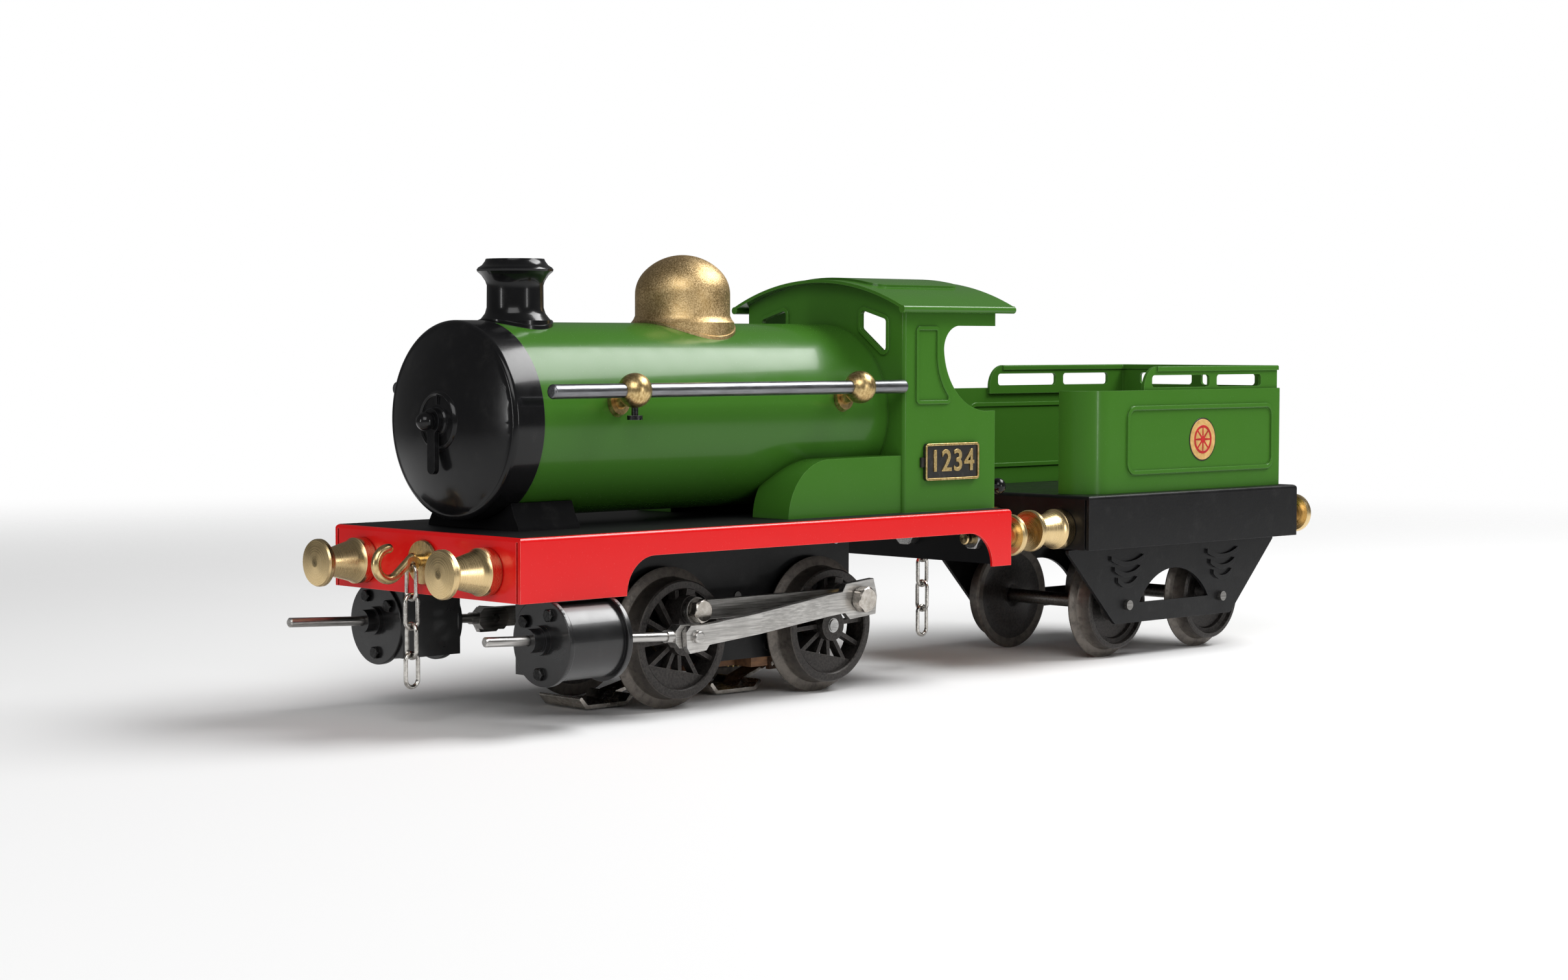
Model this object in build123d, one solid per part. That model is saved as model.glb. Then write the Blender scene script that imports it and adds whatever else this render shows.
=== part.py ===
from build123d import *
import math
import os

# Tinplate O gauge electric 0-4-0 tender locomotive, in millimetres.
# X runs across (+X is the engine's left side), Y runs from the front beam to the rear,
# Z runs up from the wheel flanges. Shapes are made with Y = 0 at the front beam's face
# and moved by Y_MID when they are saved, so that the row's origin is under the middle.

# ---- driving dimensions -------------------------------------------------------------
SHEET = 0.8                    # tinplate of the footplate and frames
THIN = 0.7                     # tinplate of the cab, tank and splashers

DECK_W = 30.5                  # half width of the footplate
DECK_L = 146.8
DECK_Z = 39.5                  # top of the footplate
BEAM_DEPTH = 13.0
VALANCE_DEPTH = 5.1            # between the deep ends
VALANCE_CUT = (28.0, 140.3)    # where the shallow stretch starts and ends
VALANCE_R = 7.7
CORNER_SLOT = 0.5

BOILER_R = 20.25
BOILER_Z = DECK_Z + 22.2
SMOKEBOX_Y = 7.0
SMOKEBOX_L = 7.75
SMOKEBOX_R = 20.6
DOOR_RISE = 3.6                # how far the door bulges forward
BOSS_RISE = 0.4
HANDLE_R = 0.75
HANDLE_THICK = 1.2
HANDLE_REACH = 9.6             # door handle's arm, from its middle to the round end
KNOB_PROFILE = ((0, -0.3), (1.5, -0.3), (1.5, 0.05), (1.8, 0.5), (1.97, 1.0), (1.97, 1.6), (1.8, 2.1),
                (1.5, 2.6), (1.1, 2.95), (0.6, 3.2), (0, 3.3))
CAB_Y = 116.1                  # front face of the cab
CAB_END = 147.0
CAB_W = 25.1                   # half width over the cab sides
CAB_EAVES = DECK_Z + 45.0
ROOF_R = 62.0                  # outside of the roof's arch
ROOF_TOP = DECK_Z + 52.6
ROOF_W = 27.3
ROOF_Y = (113.4, 151.4)
PLATE_Y = 131.6                # number plate's middle
PLATE_Z = DECK_Z + 11.2
PLATE_SCREW_YS = (124.8, 138.4)

CHIMNEY_Y = 24.1
DOME_Y = 71.7
DOME_R = 10.45
RAIL_X = 25.4                  # handrail
RAIL_Z = DECK_Z + 28.4
RAIL_R = 1.5
KNOB_YS = (34.7, 101.4)
KNOB_R = 3.6

AXLE_R = 1.6
LOCO_AXLES = (53.2, 98.3)
LOCO_FLANGE_R = 15.1
LOCO_TREAD_R = 12.7
LOCO_AXLE_Z = LOCO_FLANGE_R
WHEEL_IN = 14.2                # back face of a wheel, from the centre line
WHEEL_OUT = 20.0
BOSS_OUT = 21.3
CRANK_THROW = 6.4
CRANK_LEFT = 78.0              # degrees above straight back
CRANK_RIGHT = CRANK_LEFT + 90.0
SPOKES = 12

COUPLING_ROD_X = (21.45, 22.95)
ROD_X_REAR = (26.0, 27.5)      # connecting rod at the crank pin
ROD_X_FRONT = (28.7, 30.2)     # and at the crosshead
ROD_JOG = (66.0, 90.0)         # the stretch where it bends outwards
PIN_R = 1.7
PIN_HOLE_R = 1.78

CYL_X = 27.3
CYL_Y = (8.0, 24.6)
CYL_R = 8.0
CYL_FLANGE_R = 8.9
PISTON_R = 1.0
PISTON_BORE = 1.08
PISTON_DROP = 2.7              # degrees that the piston rod slopes down to the rear
PISTON_Y0 = -6.5               # tip of the left tail rod
PISTON_Z0 = DECK_Z - 20.15
SMALL_END_Y = 47.8             # left crosshead pin
SCREW_ANGLES = (64.0, 141.0, -93.0)
SCREW_CIRCLE_R = 6.3

FRAME_X = (12.0, 13.2)         # mechanism side frames, from the centre line
MOTOR_Y = 75.8
MOTOR_Z = 22.5
MODULE = 0.5
TEETH_PINION = 10
TEETH_IDLER = 34
TEETH_IDLER_PINION = 20
TEETH_AXLE = 46
GEAR_FAST_X = (-10.4, -9.2)    # armature pinion and the idler's wheel
GEAR_SLOW_X = (-11.8, -10.6)   # idler pinion and the axle gear
SPACERS = ((49.0, 33.5), (106.5, 33.5), (66.5, 11.0), (85.0, 11.0))
SHOE_ROOTS = (62.5, 96.0)
SHOE_ROOT_Z = 5.4

LEVER_X = 20.0
LEVER_Z = DECK_Z + 4.6
LEVER_PIVOT_Y = 126.0
LEVER_STUD_R = 1.0
LEVER_END = 153.4

BUFFER_X = 20.5
BUFFER_Z = DECK_Z - 7.1
HOOK_Z = DECK_Z - 6.4
LINK_WIRE = 0.45
LINK_HALF_W = 1.55             # to the wire's centre line
LINK_L = 6.9
LINK_GAP = 0.05
LINK_STEP = LINK_L - 2 * LINK_WIRE - LINK_GAP
HOOK_EYE = (3.3, -0.3)         # eye's centre, forward of the beam and above the tail
HOOK_HOLE_R = 0.68
LINK_COUNT = 4

TENDER_Y = (176.6, 261.0)
TENDER_W = 29.2
TENDER_DECK_Z = DECK_Z + 1.7
TENDER_BUFFER_Z = DECK_Z - 6.4
TENDER_AXLES = (200.2, 238.2)
TENDER_FLANGE_R = 13.4
TENDER_TREAD_R = TENDER_FLANGE_R - (LOCO_FLANGE_R - LOCO_TREAD_R) + 0.2
TANK_W = 25.8
TANK_Y = (179.9, 258.6)
TANK_H = 24.9
TANK_CORNER = 8.8              # front corners
TANK_REAR_CORNER = 1.2
TANK_OPENING = 17.0            # half width of the open front
PANEL_Y = 224.8                # middle of the raised panels
PANEL_Z = DECK_Z + 14.4
PANEL_SIZE = (59.9, 16.8)
COAL_TOP = DECK_Z + 32.4
COAL_Y0 = 202.5                # where the coal rail starts
COAL_WALL = 0.8
GUARD_X = (21.2, 22.1)

BUFFER_L = 12.2
COUPLING_YS = (155.2, 168.2)   # link wire's centres at the two hooks
COUPLING_Z = DECK_Z - 7.6

# ---- worked-out places --------------------------------------------------------------


def crank_pin(axle_y, degrees):
    """Centre (y, z) of a crank pin on an engine axle."""
    a = math.radians(degrees)
    return axle_y + CRANK_THROW * math.cos(a), LOCO_AXLE_Z + CRANK_THROW * math.sin(a)


def piston_z(y):
    """Height of the piston rod's line at y."""
    return PISTON_Z0 - (y - PISTON_Y0) * math.tan(math.radians(PISTON_DROP))


PIN_LEFT = crank_pin(LOCO_AXLES[1], CRANK_LEFT)
PIN_RIGHT = crank_pin(LOCO_AXLES[1], CRANK_RIGHT)
SMALL_LEFT = (SMALL_END_Y, piston_z(SMALL_END_Y))
ROD_LENGTH = math.dist(PIN_LEFT, SMALL_LEFT)
RISE_RIGHT = PIN_RIGHT[1] - piston_z(40.0)
SMALL_RIGHT_Y = PIN_RIGHT[0] - math.sqrt(ROD_LENGTH ** 2 - RISE_RIGHT ** 2)
SMALL_RIGHT = (SMALL_RIGHT_Y, piston_z(SMALL_RIGHT_Y))
PISTON_OFFSET_RIGHT = SMALL_RIGHT_Y - SMALL_END_Y
FRONT_MOST = PISTON_Y0 + PISTON_OFFSET_RIGHT
REAR_MOST = TENDER_Y[1] + BUFFER_L + 0.4
Y_MID = (FRONT_MOST + REAR_MOST) / 2


def idler_place():
    """Where the idler sits so that both of its gears mesh."""
    near = MODULE * (TEETH_PINION + TEETH_IDLER) / 2
    far = MODULE * (TEETH_IDLER_PINION + TEETH_AXLE) / 2
    dy = LOCO_AXLES[1] - MOTOR_Y
    dz = LOCO_AXLE_Z - MOTOR_Z
    span = math.hypot(dy, dz)
    along = (near ** 2 - far ** 2 + span ** 2) / (2 * span)
    up = math.sqrt(near ** 2 - along ** 2)
    uy = dy / span
    uz = dz / span
    return MOTOR_Y + along * uy - up * uz, MOTOR_Z + along * uz + up * uy


IDLER_Y, IDLER_Z = idler_place()
CYL_Z = (piston_z(CYL_Y[0]) + piston_z(CYL_Y[1])) / 2 - 0.1
FRONT_EYE_Z = HOOK_Z + HOOK_EYE[1] - (HOOK_HOLE_R - LINK_WIRE - 0.03)

# ---- helpers ------------------------------------------------------------------------


def save(name, *shapes):
    """Write one node: its solids, moved to the row's origin."""
    solids = []
    for shape in shapes:
        solids.extend(shape.solids())
    whole = solids[0] if len(solids) == 1 else Compound(solids)
    export_step(Pos(0, -Y_MID, 0) * whole, f"parts/{name}.step")


def block(x0, x1, y0, y1, z0, z1):
    """Box between two corners."""
    return Pos((x0 + x1) / 2, (y0 + y1) / 2, (z0 + z1) / 2) * Box(x1 - x0, y1 - y0, z1 - z0)


def rod_x(radius, x0, x1, y, z):
    """Round bar along X."""
    return Pos((x0 + x1) / 2, y, z) * Rot(0, 90, 0) * Cylinder(radius, x1 - x0)


def rod_y(radius, y0, y1, x, z):
    """Round bar along Y."""
    return Pos(x, (y0 + y1) / 2, z) * Rot(90, 0, 0) * Cylinder(radius, y1 - y0)


def rod_z(radius, z0, z1, x, y):
    """Upright round bar."""
    return Pos(x, y, (z0 + z1) / 2) * Cylinder(radius, z1 - z0)


def other_side(shape):
    """The same shape on the engine's other side."""
    return mirror(shape, about=Plane.YZ)


def turned(points):
    """Solid of revolution about Z from (radius, height) points."""
    outline = make_face(Polyline(*points, close=True))
    return revolve(Plane.XZ * outline, Axis.Z)


def side_plane(x, y=0.0, z=0.0, degrees=0.0, outward=1.0):
    """Plane at x whose first axis points `degrees` above straight back."""
    a = math.radians(degrees)
    return Plane(origin=(x, y, z), x_dir=(0, math.cos(a), math.sin(a)), z_dir=(outward, 0, 0))


def hexagon(flats, length):
    """Hexagonal prism standing on the XY plane, its edges broken."""
    prism = extrude(RegularPolygon(flats / 2, 6, major_radius=False), length)
    crown = turned([(0, 0), (flats / 2 + 0.1, 0), (flats / 2 + 0.25, 0.2),
                    (flats / 2 + 0.25, length - 0.35), (flats / 2 - 0.15, length), (0, length)])
    return prism & crown


def bead(sketch, width, height):
    """Half-round raised line along the inside of a closed outline."""
    ring = sketch - offset(sketch, -width, kind=Kind.ARC)
    raised = extrude(ring, height)
    top = raised.faces().sort_by(Axis.Z)[-1]
    return fillet(top.edges(), min(width, height) * 0.4)


def rounded_rect(width, height, radius):
    """Rectangle with round corners, centred."""
    return RectangleRounded(width, height, radius)


# ---- footplate ----------------------------------------------------------------------


def folded_tray(half_w, y0, y1, top, depth, bend):
    """Deck with four folded-down sides and open slots at its corners."""
    outer = block(-half_w, half_w, y0, y1, top - depth, top)
    outer = fillet(outer.faces().sort_by(Axis.Z)[-1].edges(), bend)
    inner = block(-half_w + SHEET, half_w - SHEET, y0 + SHEET, y1 - SHEET, top - depth - 1, top - SHEET)
    tray = outer - inner
    for side in (-1, 1):
        xs = sorted((side * (half_w - SHEET), side * (half_w - SHEET - CORNER_SLOT)))
        tray -= block(xs[0], xs[1], y0 - 1, y0 + SHEET, top - depth - 1, top - bend)
        tray -= block(xs[0], xs[1], y1 - SHEET, y1 + 1, top - depth - 1, top - bend)
    return tray


def footplate():
    """Running plate: deck, beams and valances folded from one sheet."""
    tray = folded_tray(DECK_W, 0, DECK_L, DECK_Z, BEAM_DEPTH, 0.9)
    y0, y1 = VALANCE_CUT
    tall = 20.0
    gap = Rectangle(y1 - y0, tall)
    gap = fillet(gap.vertices().group_by(Axis.Y)[-1], VALANCE_R)
    plane = side_plane(-DECK_W - 1, (y0 + y1) / 2, DECK_Z - VALANCE_DEPTH - tall / 2)
    tray -= extrude(plane * gap, 2 * DECK_W + 2)
    for x in (-BUFFER_X, BUFFER_X):
        tray -= rod_y(1.55, -1, DECK_L + 1, x, BUFFER_Z)
    tray -= rod_y(1.75, -1, DECK_L + 1, 0, HOOK_Z)
    stud = rod_z(LEVER_STUD_R, DECK_Z - 0.1, LEVER_Z + 0.6, LEVER_X, LEVER_PIVOT_Y)
    stud += rod_z(LEVER_STUD_R + 0.7, LEVER_Z + 0.55, LEVER_Z + 1.2, LEVER_X, LEVER_PIVOT_Y)
    return tray + stud


# ---- boiler and its mountings -------------------------------------------------------


def boiler_solid(radius, y0, y1):
    """Solid cylinder on the boiler's line."""
    return rod_y(radius, y0, y1, 0, BOILER_Z)


def boiler_barrel():
    """Rolled boiler with holes for the chimney and dome screws."""
    y0 = SMOKEBOX_Y + SMOKEBOX_L
    tube = boiler_solid(BOILER_R, y0, CAB_Y) - boiler_solid(BOILER_R - THIN, y0 - 1, CAB_Y + 1)
    for y in (CHIMNEY_Y, DOME_Y):
        tube -= rod_z(1.6, BOILER_Z, BOILER_Z + BOILER_R + 1, 0, y)
    for side in (-1, 1):
        for y in KNOB_YS:
            tube -= knob_stem(side, y, 1.05)
    return tube


def shallow_dish(radius, rise, low):
    """Solid on Z with flat sides down to `low` and a shallow arched top of height `rise`."""
    quarter_z = rise - 0.25 * rise
    arch = ThreePointArc((radius, 0), (radius / 2, quarter_z), (0, rise))
    return revolve(Plane.XZ * make_face(arch + Polyline((0, rise), (0, low), (radius, low), (radius, 0))), Axis.Z)


def smokebox_front():
    """Pressed cap: rounded edge, domed face, embossed ring round the handle."""
    cap = boiler_solid(SMOKEBOX_R, SMOKEBOX_Y, SMOKEBOX_Y + SMOKEBOX_L)
    cap = fillet(cap.faces().sort_by(Axis.Y)[0].edges(), 1.2)
    front = Plane(origin=(0, SMOKEBOX_Y, BOILER_Z), x_dir=(1, 0, 0), z_dir=(0, -1, 0))
    cap += front * shallow_dish(SMOKEBOX_R - 1.3, DOOR_RISE, -1.0)
    cap -= front * Pos(0, 0, -0.9) * shallow_dish(SMOKEBOX_R - 2.3, DOOR_RISE, -1.0)
    cap -= boiler_solid(SMOKEBOX_R - 0.9, SMOKEBOX_Y + 1.8, SMOKEBOX_Y + SMOKEBOX_L + 1)
    ring = turned([(4.9, -0.9), (5.2, 0.0), (5.6, 0.3), (6.0, 0.0), (6.4, -0.9)])
    boss = turned([(0, -0.8), (3.3, -0.8), (3.1, 0.1), (2.8, BOSS_RISE), (0, BOSS_RISE)])
    cap += front * Pos(0, 0, DOOR_RISE) * ring
    cap += front * Pos(0, 0, DOOR_RISE) * boss
    for turn in (90, 180):
        cap += front * Pos(0, 0, DOOR_RISE) * Rot(0, 0, turn) * Pos(4.3, 0, -0.1) * Box(1.8, 0.6, 0.7)
    return cap - front * Cylinder(HANDLE_R + 0.05, 16)


def door_handle():
    """Flat key-shaped lever with a ball on its disc and a stub that passes through the door."""
    back = DOOR_RISE + BOSS_RISE + 0.05
    front = back + HANDLE_THICK
    out = Plane(origin=(0, SMOKEBOX_Y, BOILER_Z), x_dir=(1, 0, 0), z_dir=(0, -1, 0))
    stub = out * Pos(0, 0, (front - 1.0) / 2) * Cylinder(HANDLE_R, front)
    disc = Circle(2.6)
    arm = Pos(0, -HANDLE_REACH / 2) * Rectangle(2.4, HANDLE_REACH)
    tail = Pos(0, -HANDLE_REACH) * Circle(1.2)
    lever = out * Pos(0, 0, back) * extrude(disc + arm + tail, HANDLE_THICK)
    knob = out * Pos(0, 0, front) * turned(KNOB_PROFILE)
    return stub + lever + knob


def smokebox_saddle():
    """Cast block with sloping sides under the smokebox."""
    y0, y1 = 12.6, 29.0
    low = DECK_Z
    outline = Polyline((-14.9, low), (14.9, low), (14.7, low + 0.9), (13.4, low + 3.0), (12.4, low + 5.6),
                       (-12.4, low + 5.6), (-13.4, low + 3.0), (-14.7, low + 0.9), close=True)
    plane = Plane(origin=(0, y1, 0), x_dir=(1, 0, 0), z_dir=(0, -1, 0))
    saddle = extrude(plane * make_face(outline), y1 - y0)
    saddle -= boiler_solid(SMOKEBOX_R, y0 - 1, SMOKEBOX_Y + SMOKEBOX_L)
    return saddle - boiler_solid(BOILER_R, SMOKEBOX_Y + SMOKEBOX_L - 0.1, y1 + 1)


def saddle_flange(radius, thickness, y):
    """Round plate bent to the boiler's curve."""
    plug = rod_z(radius, BOILER_Z, BOILER_Z + BOILER_R + 4, 0, y)
    skin = boiler_solid(BOILER_R + thickness, y - 20, y + 20) - boiler_solid(BOILER_R, y - 21, y + 21)
    return plug & skin


def chimney():
    """Turned chimney with a capped rim and a flared foot."""
    top = BOILER_Z + BOILER_R
    profile = [(0, -2.5), (7.6, -2.5), (7.5, 0.3), (6.9, 1.0), (6.3, 1.8), (5.95, 3.0), (5.9, 7.6),
               (6.2, 8.5), (7.0, 9.7), (7.9, 10.5), (8.0, 10.9), (7.7, 11.3), (6.9, 11.8),
               (6.3, 12.6), (6.1, 13.1), (5.2, 13.1), (4.9, 12.8), (4.9, 2.4), (0, 2.4)]
    body = Pos(0, CHIMNEY_Y, top) * turned(profile)
    body -= boiler_solid(BOILER_R, CHIMNEY_Y - 15, CHIMNEY_Y + 15)
    stud = rod_z(1.5, top - 4, top + 1.5, 0, CHIMNEY_Y)
    return body + saddle_flange(7.9, 0.7, CHIMNEY_Y) + stud


def crown_curve(radius, wall, height, shoulder):
    """Two tangent arcs from the top of a straight wall to the centre of a crown, in (r, z)."""
    inset = radius - shoulder
    reach = height - shoulder
    low = (reach + wall) / 2 - inset ** 2 / (2 * (reach - wall))
    top_r = height - low
    a0 = math.atan2(wall - low, inset)
    join = (top_r * math.cos(a0), low + top_r * math.sin(a0))
    a1 = a0 / 2
    a2 = (a0 + math.pi / 2) / 2
    side_mid = (inset + shoulder * math.cos(a1), wall + shoulder * math.sin(a1))
    top_mid = (top_r * math.cos(a2), low + top_r * math.sin(a2))
    side = ThreePointArc((radius, wall), side_mid, join)
    return side + ThreePointArc(join, top_mid, (0, height))


def dome_form(radius, low, wall, height, shoulder):
    """Solid with a straight wall and a crown, on Z."""
    outline = crown_curve(radius, wall, height, shoulder)
    outline += Polyline((0, height), (0, low), (radius, low), (radius, wall))
    return revolve(Plane.XZ * make_face(outline), Axis.Z)


def dome():
    """Spun dome: straight wall, rounded crown and a bent foot."""
    top = BOILER_Z + BOILER_R
    body = dome_form(DOME_R, -6.0, 6.2, 14.9, 7.4)
    body += turned([(0, -6), (DOME_R + 1.0, -6), (DOME_R + 0.9, 0.1), (DOME_R + 0.35, 0.8), (DOME_R, 1.6), (0, 1.6)])
    body -= dome_form(DOME_R - 0.9, 2.5, 6.2, 14.0, 6.5)
    shell = Pos(0, DOME_Y, top) * body - boiler_solid(BOILER_R, DOME_Y - 20, DOME_Y + 20)
    return shell + saddle_flange(DOME_R + 1.2, 0.6, DOME_Y) + rod_z(1.5, top - 4, top + 1.5, 0, DOME_Y)


# ---- handrails ----------------------------------------------------------------------


def knob_stem(side, y, radius, stretch=0.0):
    """Straight stem from the boiler's skin to the knob's ball."""
    z0 = DECK_Z + 25.6
    x0 = math.sqrt(BOILER_R ** 2 - (z0 - BOILER_Z) ** 2)
    start = Vector(side * (x0 - 2.0), y, z0 - 1.0)
    end = Vector(side * RAIL_X, y, RAIL_Z)
    along = end - start
    return Plane(origin=start, z_dir=along) * Pos(0, 0, along.length / 2) * Cylinder(radius, along.length + stretch)


def handrail_knob(side, y):
    """Turned knob: ball, stem and collar against the boiler."""
    ball = Pos(side * RAIL_X, y, RAIL_Z) * Sphere(KNOB_R)
    collar = knob_stem(side, y, 2.6) - boiler_solid(BOILER_R, y - 5, y + 5)
    collar &= boiler_solid(BOILER_R + 1.1, y - 5, y + 5)
    knob = ball + knob_stem(side, y, 1.6) + collar
    knob -= boiler_solid(BOILER_R, y - 5, y + 5)
    knob += knob_stem(side, y, 1.0)
    knob -= rod_y(RAIL_R + 0.03, y - 5, y + 5, side * RAIL_X, RAIL_Z)
    if y == KNOB_YS[0]:
        knob -= rod_z(0.72, RAIL_Z - KNOB_R - 1, RAIL_Z, side * RAIL_X, y)
    return knob


def handrail(side):
    """Straight rod with rounded ends."""
    bar = rod_y(RAIL_R, 12.3, CAB_Y - 0.3, side * RAIL_X, RAIL_Z)
    return fillet(bar.edges().filter_by(GeomType.CIRCLE), 0.5)


def knob_screw(side, y):
    """Small cheese-head screw that grips the rail from below."""
    head_z = RAIL_Z - KNOB_R - 1.5
    shank = rod_z(0.7, head_z, RAIL_Z - RAIL_R - 0.05, side * RAIL_X, y)
    head = rod_z(1.6, head_z - 0.9, head_z, side * RAIL_X, y)
    return shank + head - block(side * RAIL_X - 2, side * RAIL_X + 2, y - 0.2, y + 0.2, head_z - 1, head_z - 0.5)


# ---- cab ----------------------------------------------------------------------------


def roof_arch(radius, y0, y1):
    """Solid cylinder whose top is the roof's arch."""
    return rod_y(radius, y0, y1, 0, ROOF_TOP - ROOF_R)


def cab_window():
    """Spectacle opening beside the boiler, its lower edge following the boiler."""
    points = [(12.0, DECK_Z + 45.6), (19.7, DECK_Z + 43.4), (19.7, DECK_Z + 35.6), (12.0, DECK_Z + 41.4)]
    shape = make_face(Polyline(*points, close=True))
    return fillet(shape.vertices(), 0.8)


def cab_side_opening():
    """Curved doorway in a cab side, in (y, z)."""
    top = DECK_Z + 42.0
    low = DECK_Z + 22.5
    head = Line((CAB_END + 3, top), (134.2, top))
    front = ThreePointArc((134.2, top), (130.8, top - 1.7), (129.4, DECK_Z + 36.5))
    sweep_back = ThreePointArc((129.4, DECK_Z + 36.5), (132.9, DECK_Z + 27.8), (143.4, low))
    sill = Line((143.4, low), (CAB_END + 3, low))
    close = Line((CAB_END + 3, low), (CAB_END + 3, top))
    return make_face(head + front + sweep_back + sill + close)


def cab_side_panel():
    """Raised panel outline ahead of the doorway, in (y, z)."""
    z0 = DECK_Z + 24.3
    z1 = DECK_Z + 41.9
    rear = ThreePointArc((127.6, DECK_Z + 36.0), (128.6, DECK_Z + 30.6), (131.4, DECK_Z + 26.4))
    rest = Polyline((131.4, DECK_Z + 26.4), (131.4, z0), (119.8, z0), (119.8, z1), (127.6, z1), (127.6, DECK_Z + 36.0))
    face = make_face(rear + rest)
    corners = [v for v in face.vertices() if abs(v.Y - z0) < 0.01 or abs(v.Y - z1) < 0.01]
    return fillet(corners, 1.2)


def cab_body():
    """Cab front and sides folded from one sheet."""
    bend = 0.9
    low = DECK_Z
    outer = block(-CAB_W, CAB_W, CAB_Y, CAB_END, low, ROOF_TOP)
    outer = fillet(outer.edges().filter_by(Axis.Z).group_by(Axis.Y)[0], bend)
    inner = block(-CAB_W + THIN, CAB_W - THIN, CAB_Y + THIN, CAB_END + 1, low - 1, ROOF_TOP + 1)
    cab = (outer - inner) & roof_arch(ROOF_R - THIN - 0.02, CAB_Y - 1, CAB_END + 1)
    opening = extrude(side_plane(-CAB_W - 1) * cab_side_opening(), 2 * CAB_W + 2)
    cab -= opening
    front = Plane(origin=(0, CAB_Y, 0), x_dir=(1, 0, 0), z_dir=(0, -1, 0))
    hole = cab_window()
    rim = bead(offset(hole, 1.0, kind=Kind.ARC), 0.95, 0.5)
    for side in (0, 1):
        cut = front * extrude(hole, 2 * THIN, both=True)
        lip = front * rim
        cab -= other_side(cut) if side else cut
        cab += other_side(lip) if side else lip
    panel = side_plane(CAB_W) * bead(cab_side_panel(), 0.9, 0.45)
    cab = cab + panel + other_side(panel)
    for side in (-1, 1):
        for y in PLATE_SCREW_YS:
            cab -= rod_x(0.62, side * CAB_W - 1.5, side * CAB_W + 1.5, y, PLATE_Z)
    return cab


def cab_roof():
    """Arched roof with rolled gutters and a raised panel."""
    y0, y1 = ROOF_Y
    lens = roof_arch(ROOF_R, y0, y1) & block(-ROOF_W, ROOF_W, y0, y1, CAB_EAVES - 1, ROOF_TOP + 1)
    roof = lens - roof_arch(ROOF_R - THIN, y0 - 1, y1 + 1)
    edge_z = ROOF_TOP - ROOF_R + math.sqrt(ROOF_R ** 2 - ROOF_W ** 2)
    for side in (-1, 1):
        roof += rod_y(0.85, y0, y1, side * (ROOF_W - 0.5), edge_z - 0.55)
    outline = extrude(Pos(0, (y0 + y1) / 2, ROOF_TOP - 5) * rounded_rect(30.0, 29.0, 3.5), 8)
    plate = outline & (roof_arch(ROOF_R + 0.55, y0, y1) - roof_arch(ROOF_R - 0.1, y0 - 1, y1 + 1))
    return roof + plate


def splasher():
    """Left wheel cover: curved front, flat top, open underneath."""
    z = DECK_Z
    back = CAB_Y - 0.02
    curve = ThreePointArc((80.4, z), (84.2, z + 9.0), (93.0, z + 12.7))
    rest = Polyline((93.0, z + 12.7), (back, z + 12.9), (back, z), (80.4, z))
    outer = make_face(curve + rest)
    inner_curve = ThreePointArc((81.1, z), (84.7, z + 8.5), (93.0, z + 12.0))
    inner_rest = Polyline((93.0, z + 12.0), (back + 1, z + 12.2), (back + 1, z - 1), (81.1, z - 1), (81.1, z))
    inner = make_face(inner_curve + inner_rest)
    solid = extrude(side_plane(13.2) * outer, CAB_W - 0.8 - 13.2)
    solid -= extrude(side_plane(12.0) * inner, CAB_W - 0.8 - THIN - 12.0)
    return solid - boiler_solid(BOILER_R + 0.02, 70, CAB_Y + 1)


def number_plate():
    """Left cab plate with a raised border, end lugs and two screw spigots."""
    base = side_plane(CAB_W, PLATE_Y, PLATE_Z) * extrude(rounded_rect(18.2, 8.4, 0.9), 0.6)
    border = side_plane(CAB_W + 0.59, PLATE_Y, PLATE_Z) * bead(rounded_rect(18.2, 8.4, 0.9), 0.55, 0.35)
    lugs = block(CAB_W, CAB_W + 0.5, PLATE_Y - 10.2, PLATE_Y - 8.9, PLATE_Z - 1.1, PLATE_Z + 1.1)
    plate = base + border + lugs
    for y in PLATE_SCREW_YS:
        plate += rod_x(0.55, CAB_W - 1.2, CAB_W + 0.3, y, PLATE_Z)
    return plate


# ---- buffers, hooks and chains ------------------------------------------------------


def beam_place(y, outward):
    """Plane on a beam: its normal points away from the vehicle."""
    return Plane(origin=(0, y, 0), x_dir=(1, 0, 0), z_dir=(0, outward, 0))


def buffer():
    """Turned buffer on Z: base ring, tapering stock, head and threaded tail."""
    head = BUFFER_L
    return turned([(0, -5.2), (1.2, -5.2), (1.45, -4.9), (1.45, 0), (4.6, 0), (4.8, 0.2), (4.8, 2.6),
                   (4.45, 3.0), (2.9, 8.9), (2.75, 9.6), (2.75, head - 1.6), (4.6, head - 1.6),
                   (4.94, head - 1.2), (4.94, head - 0.4), (4.7, head), (3.0, head + 0.2), (0, head + 0.4)])


def buffer_pair(y, outward, z):
    """Both buffers of one beam."""
    return [beam_place(y, outward) * Pos(x, outward * -z, 0) * buffer() for x in (-BUFFER_X, BUFFER_X)]


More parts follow.
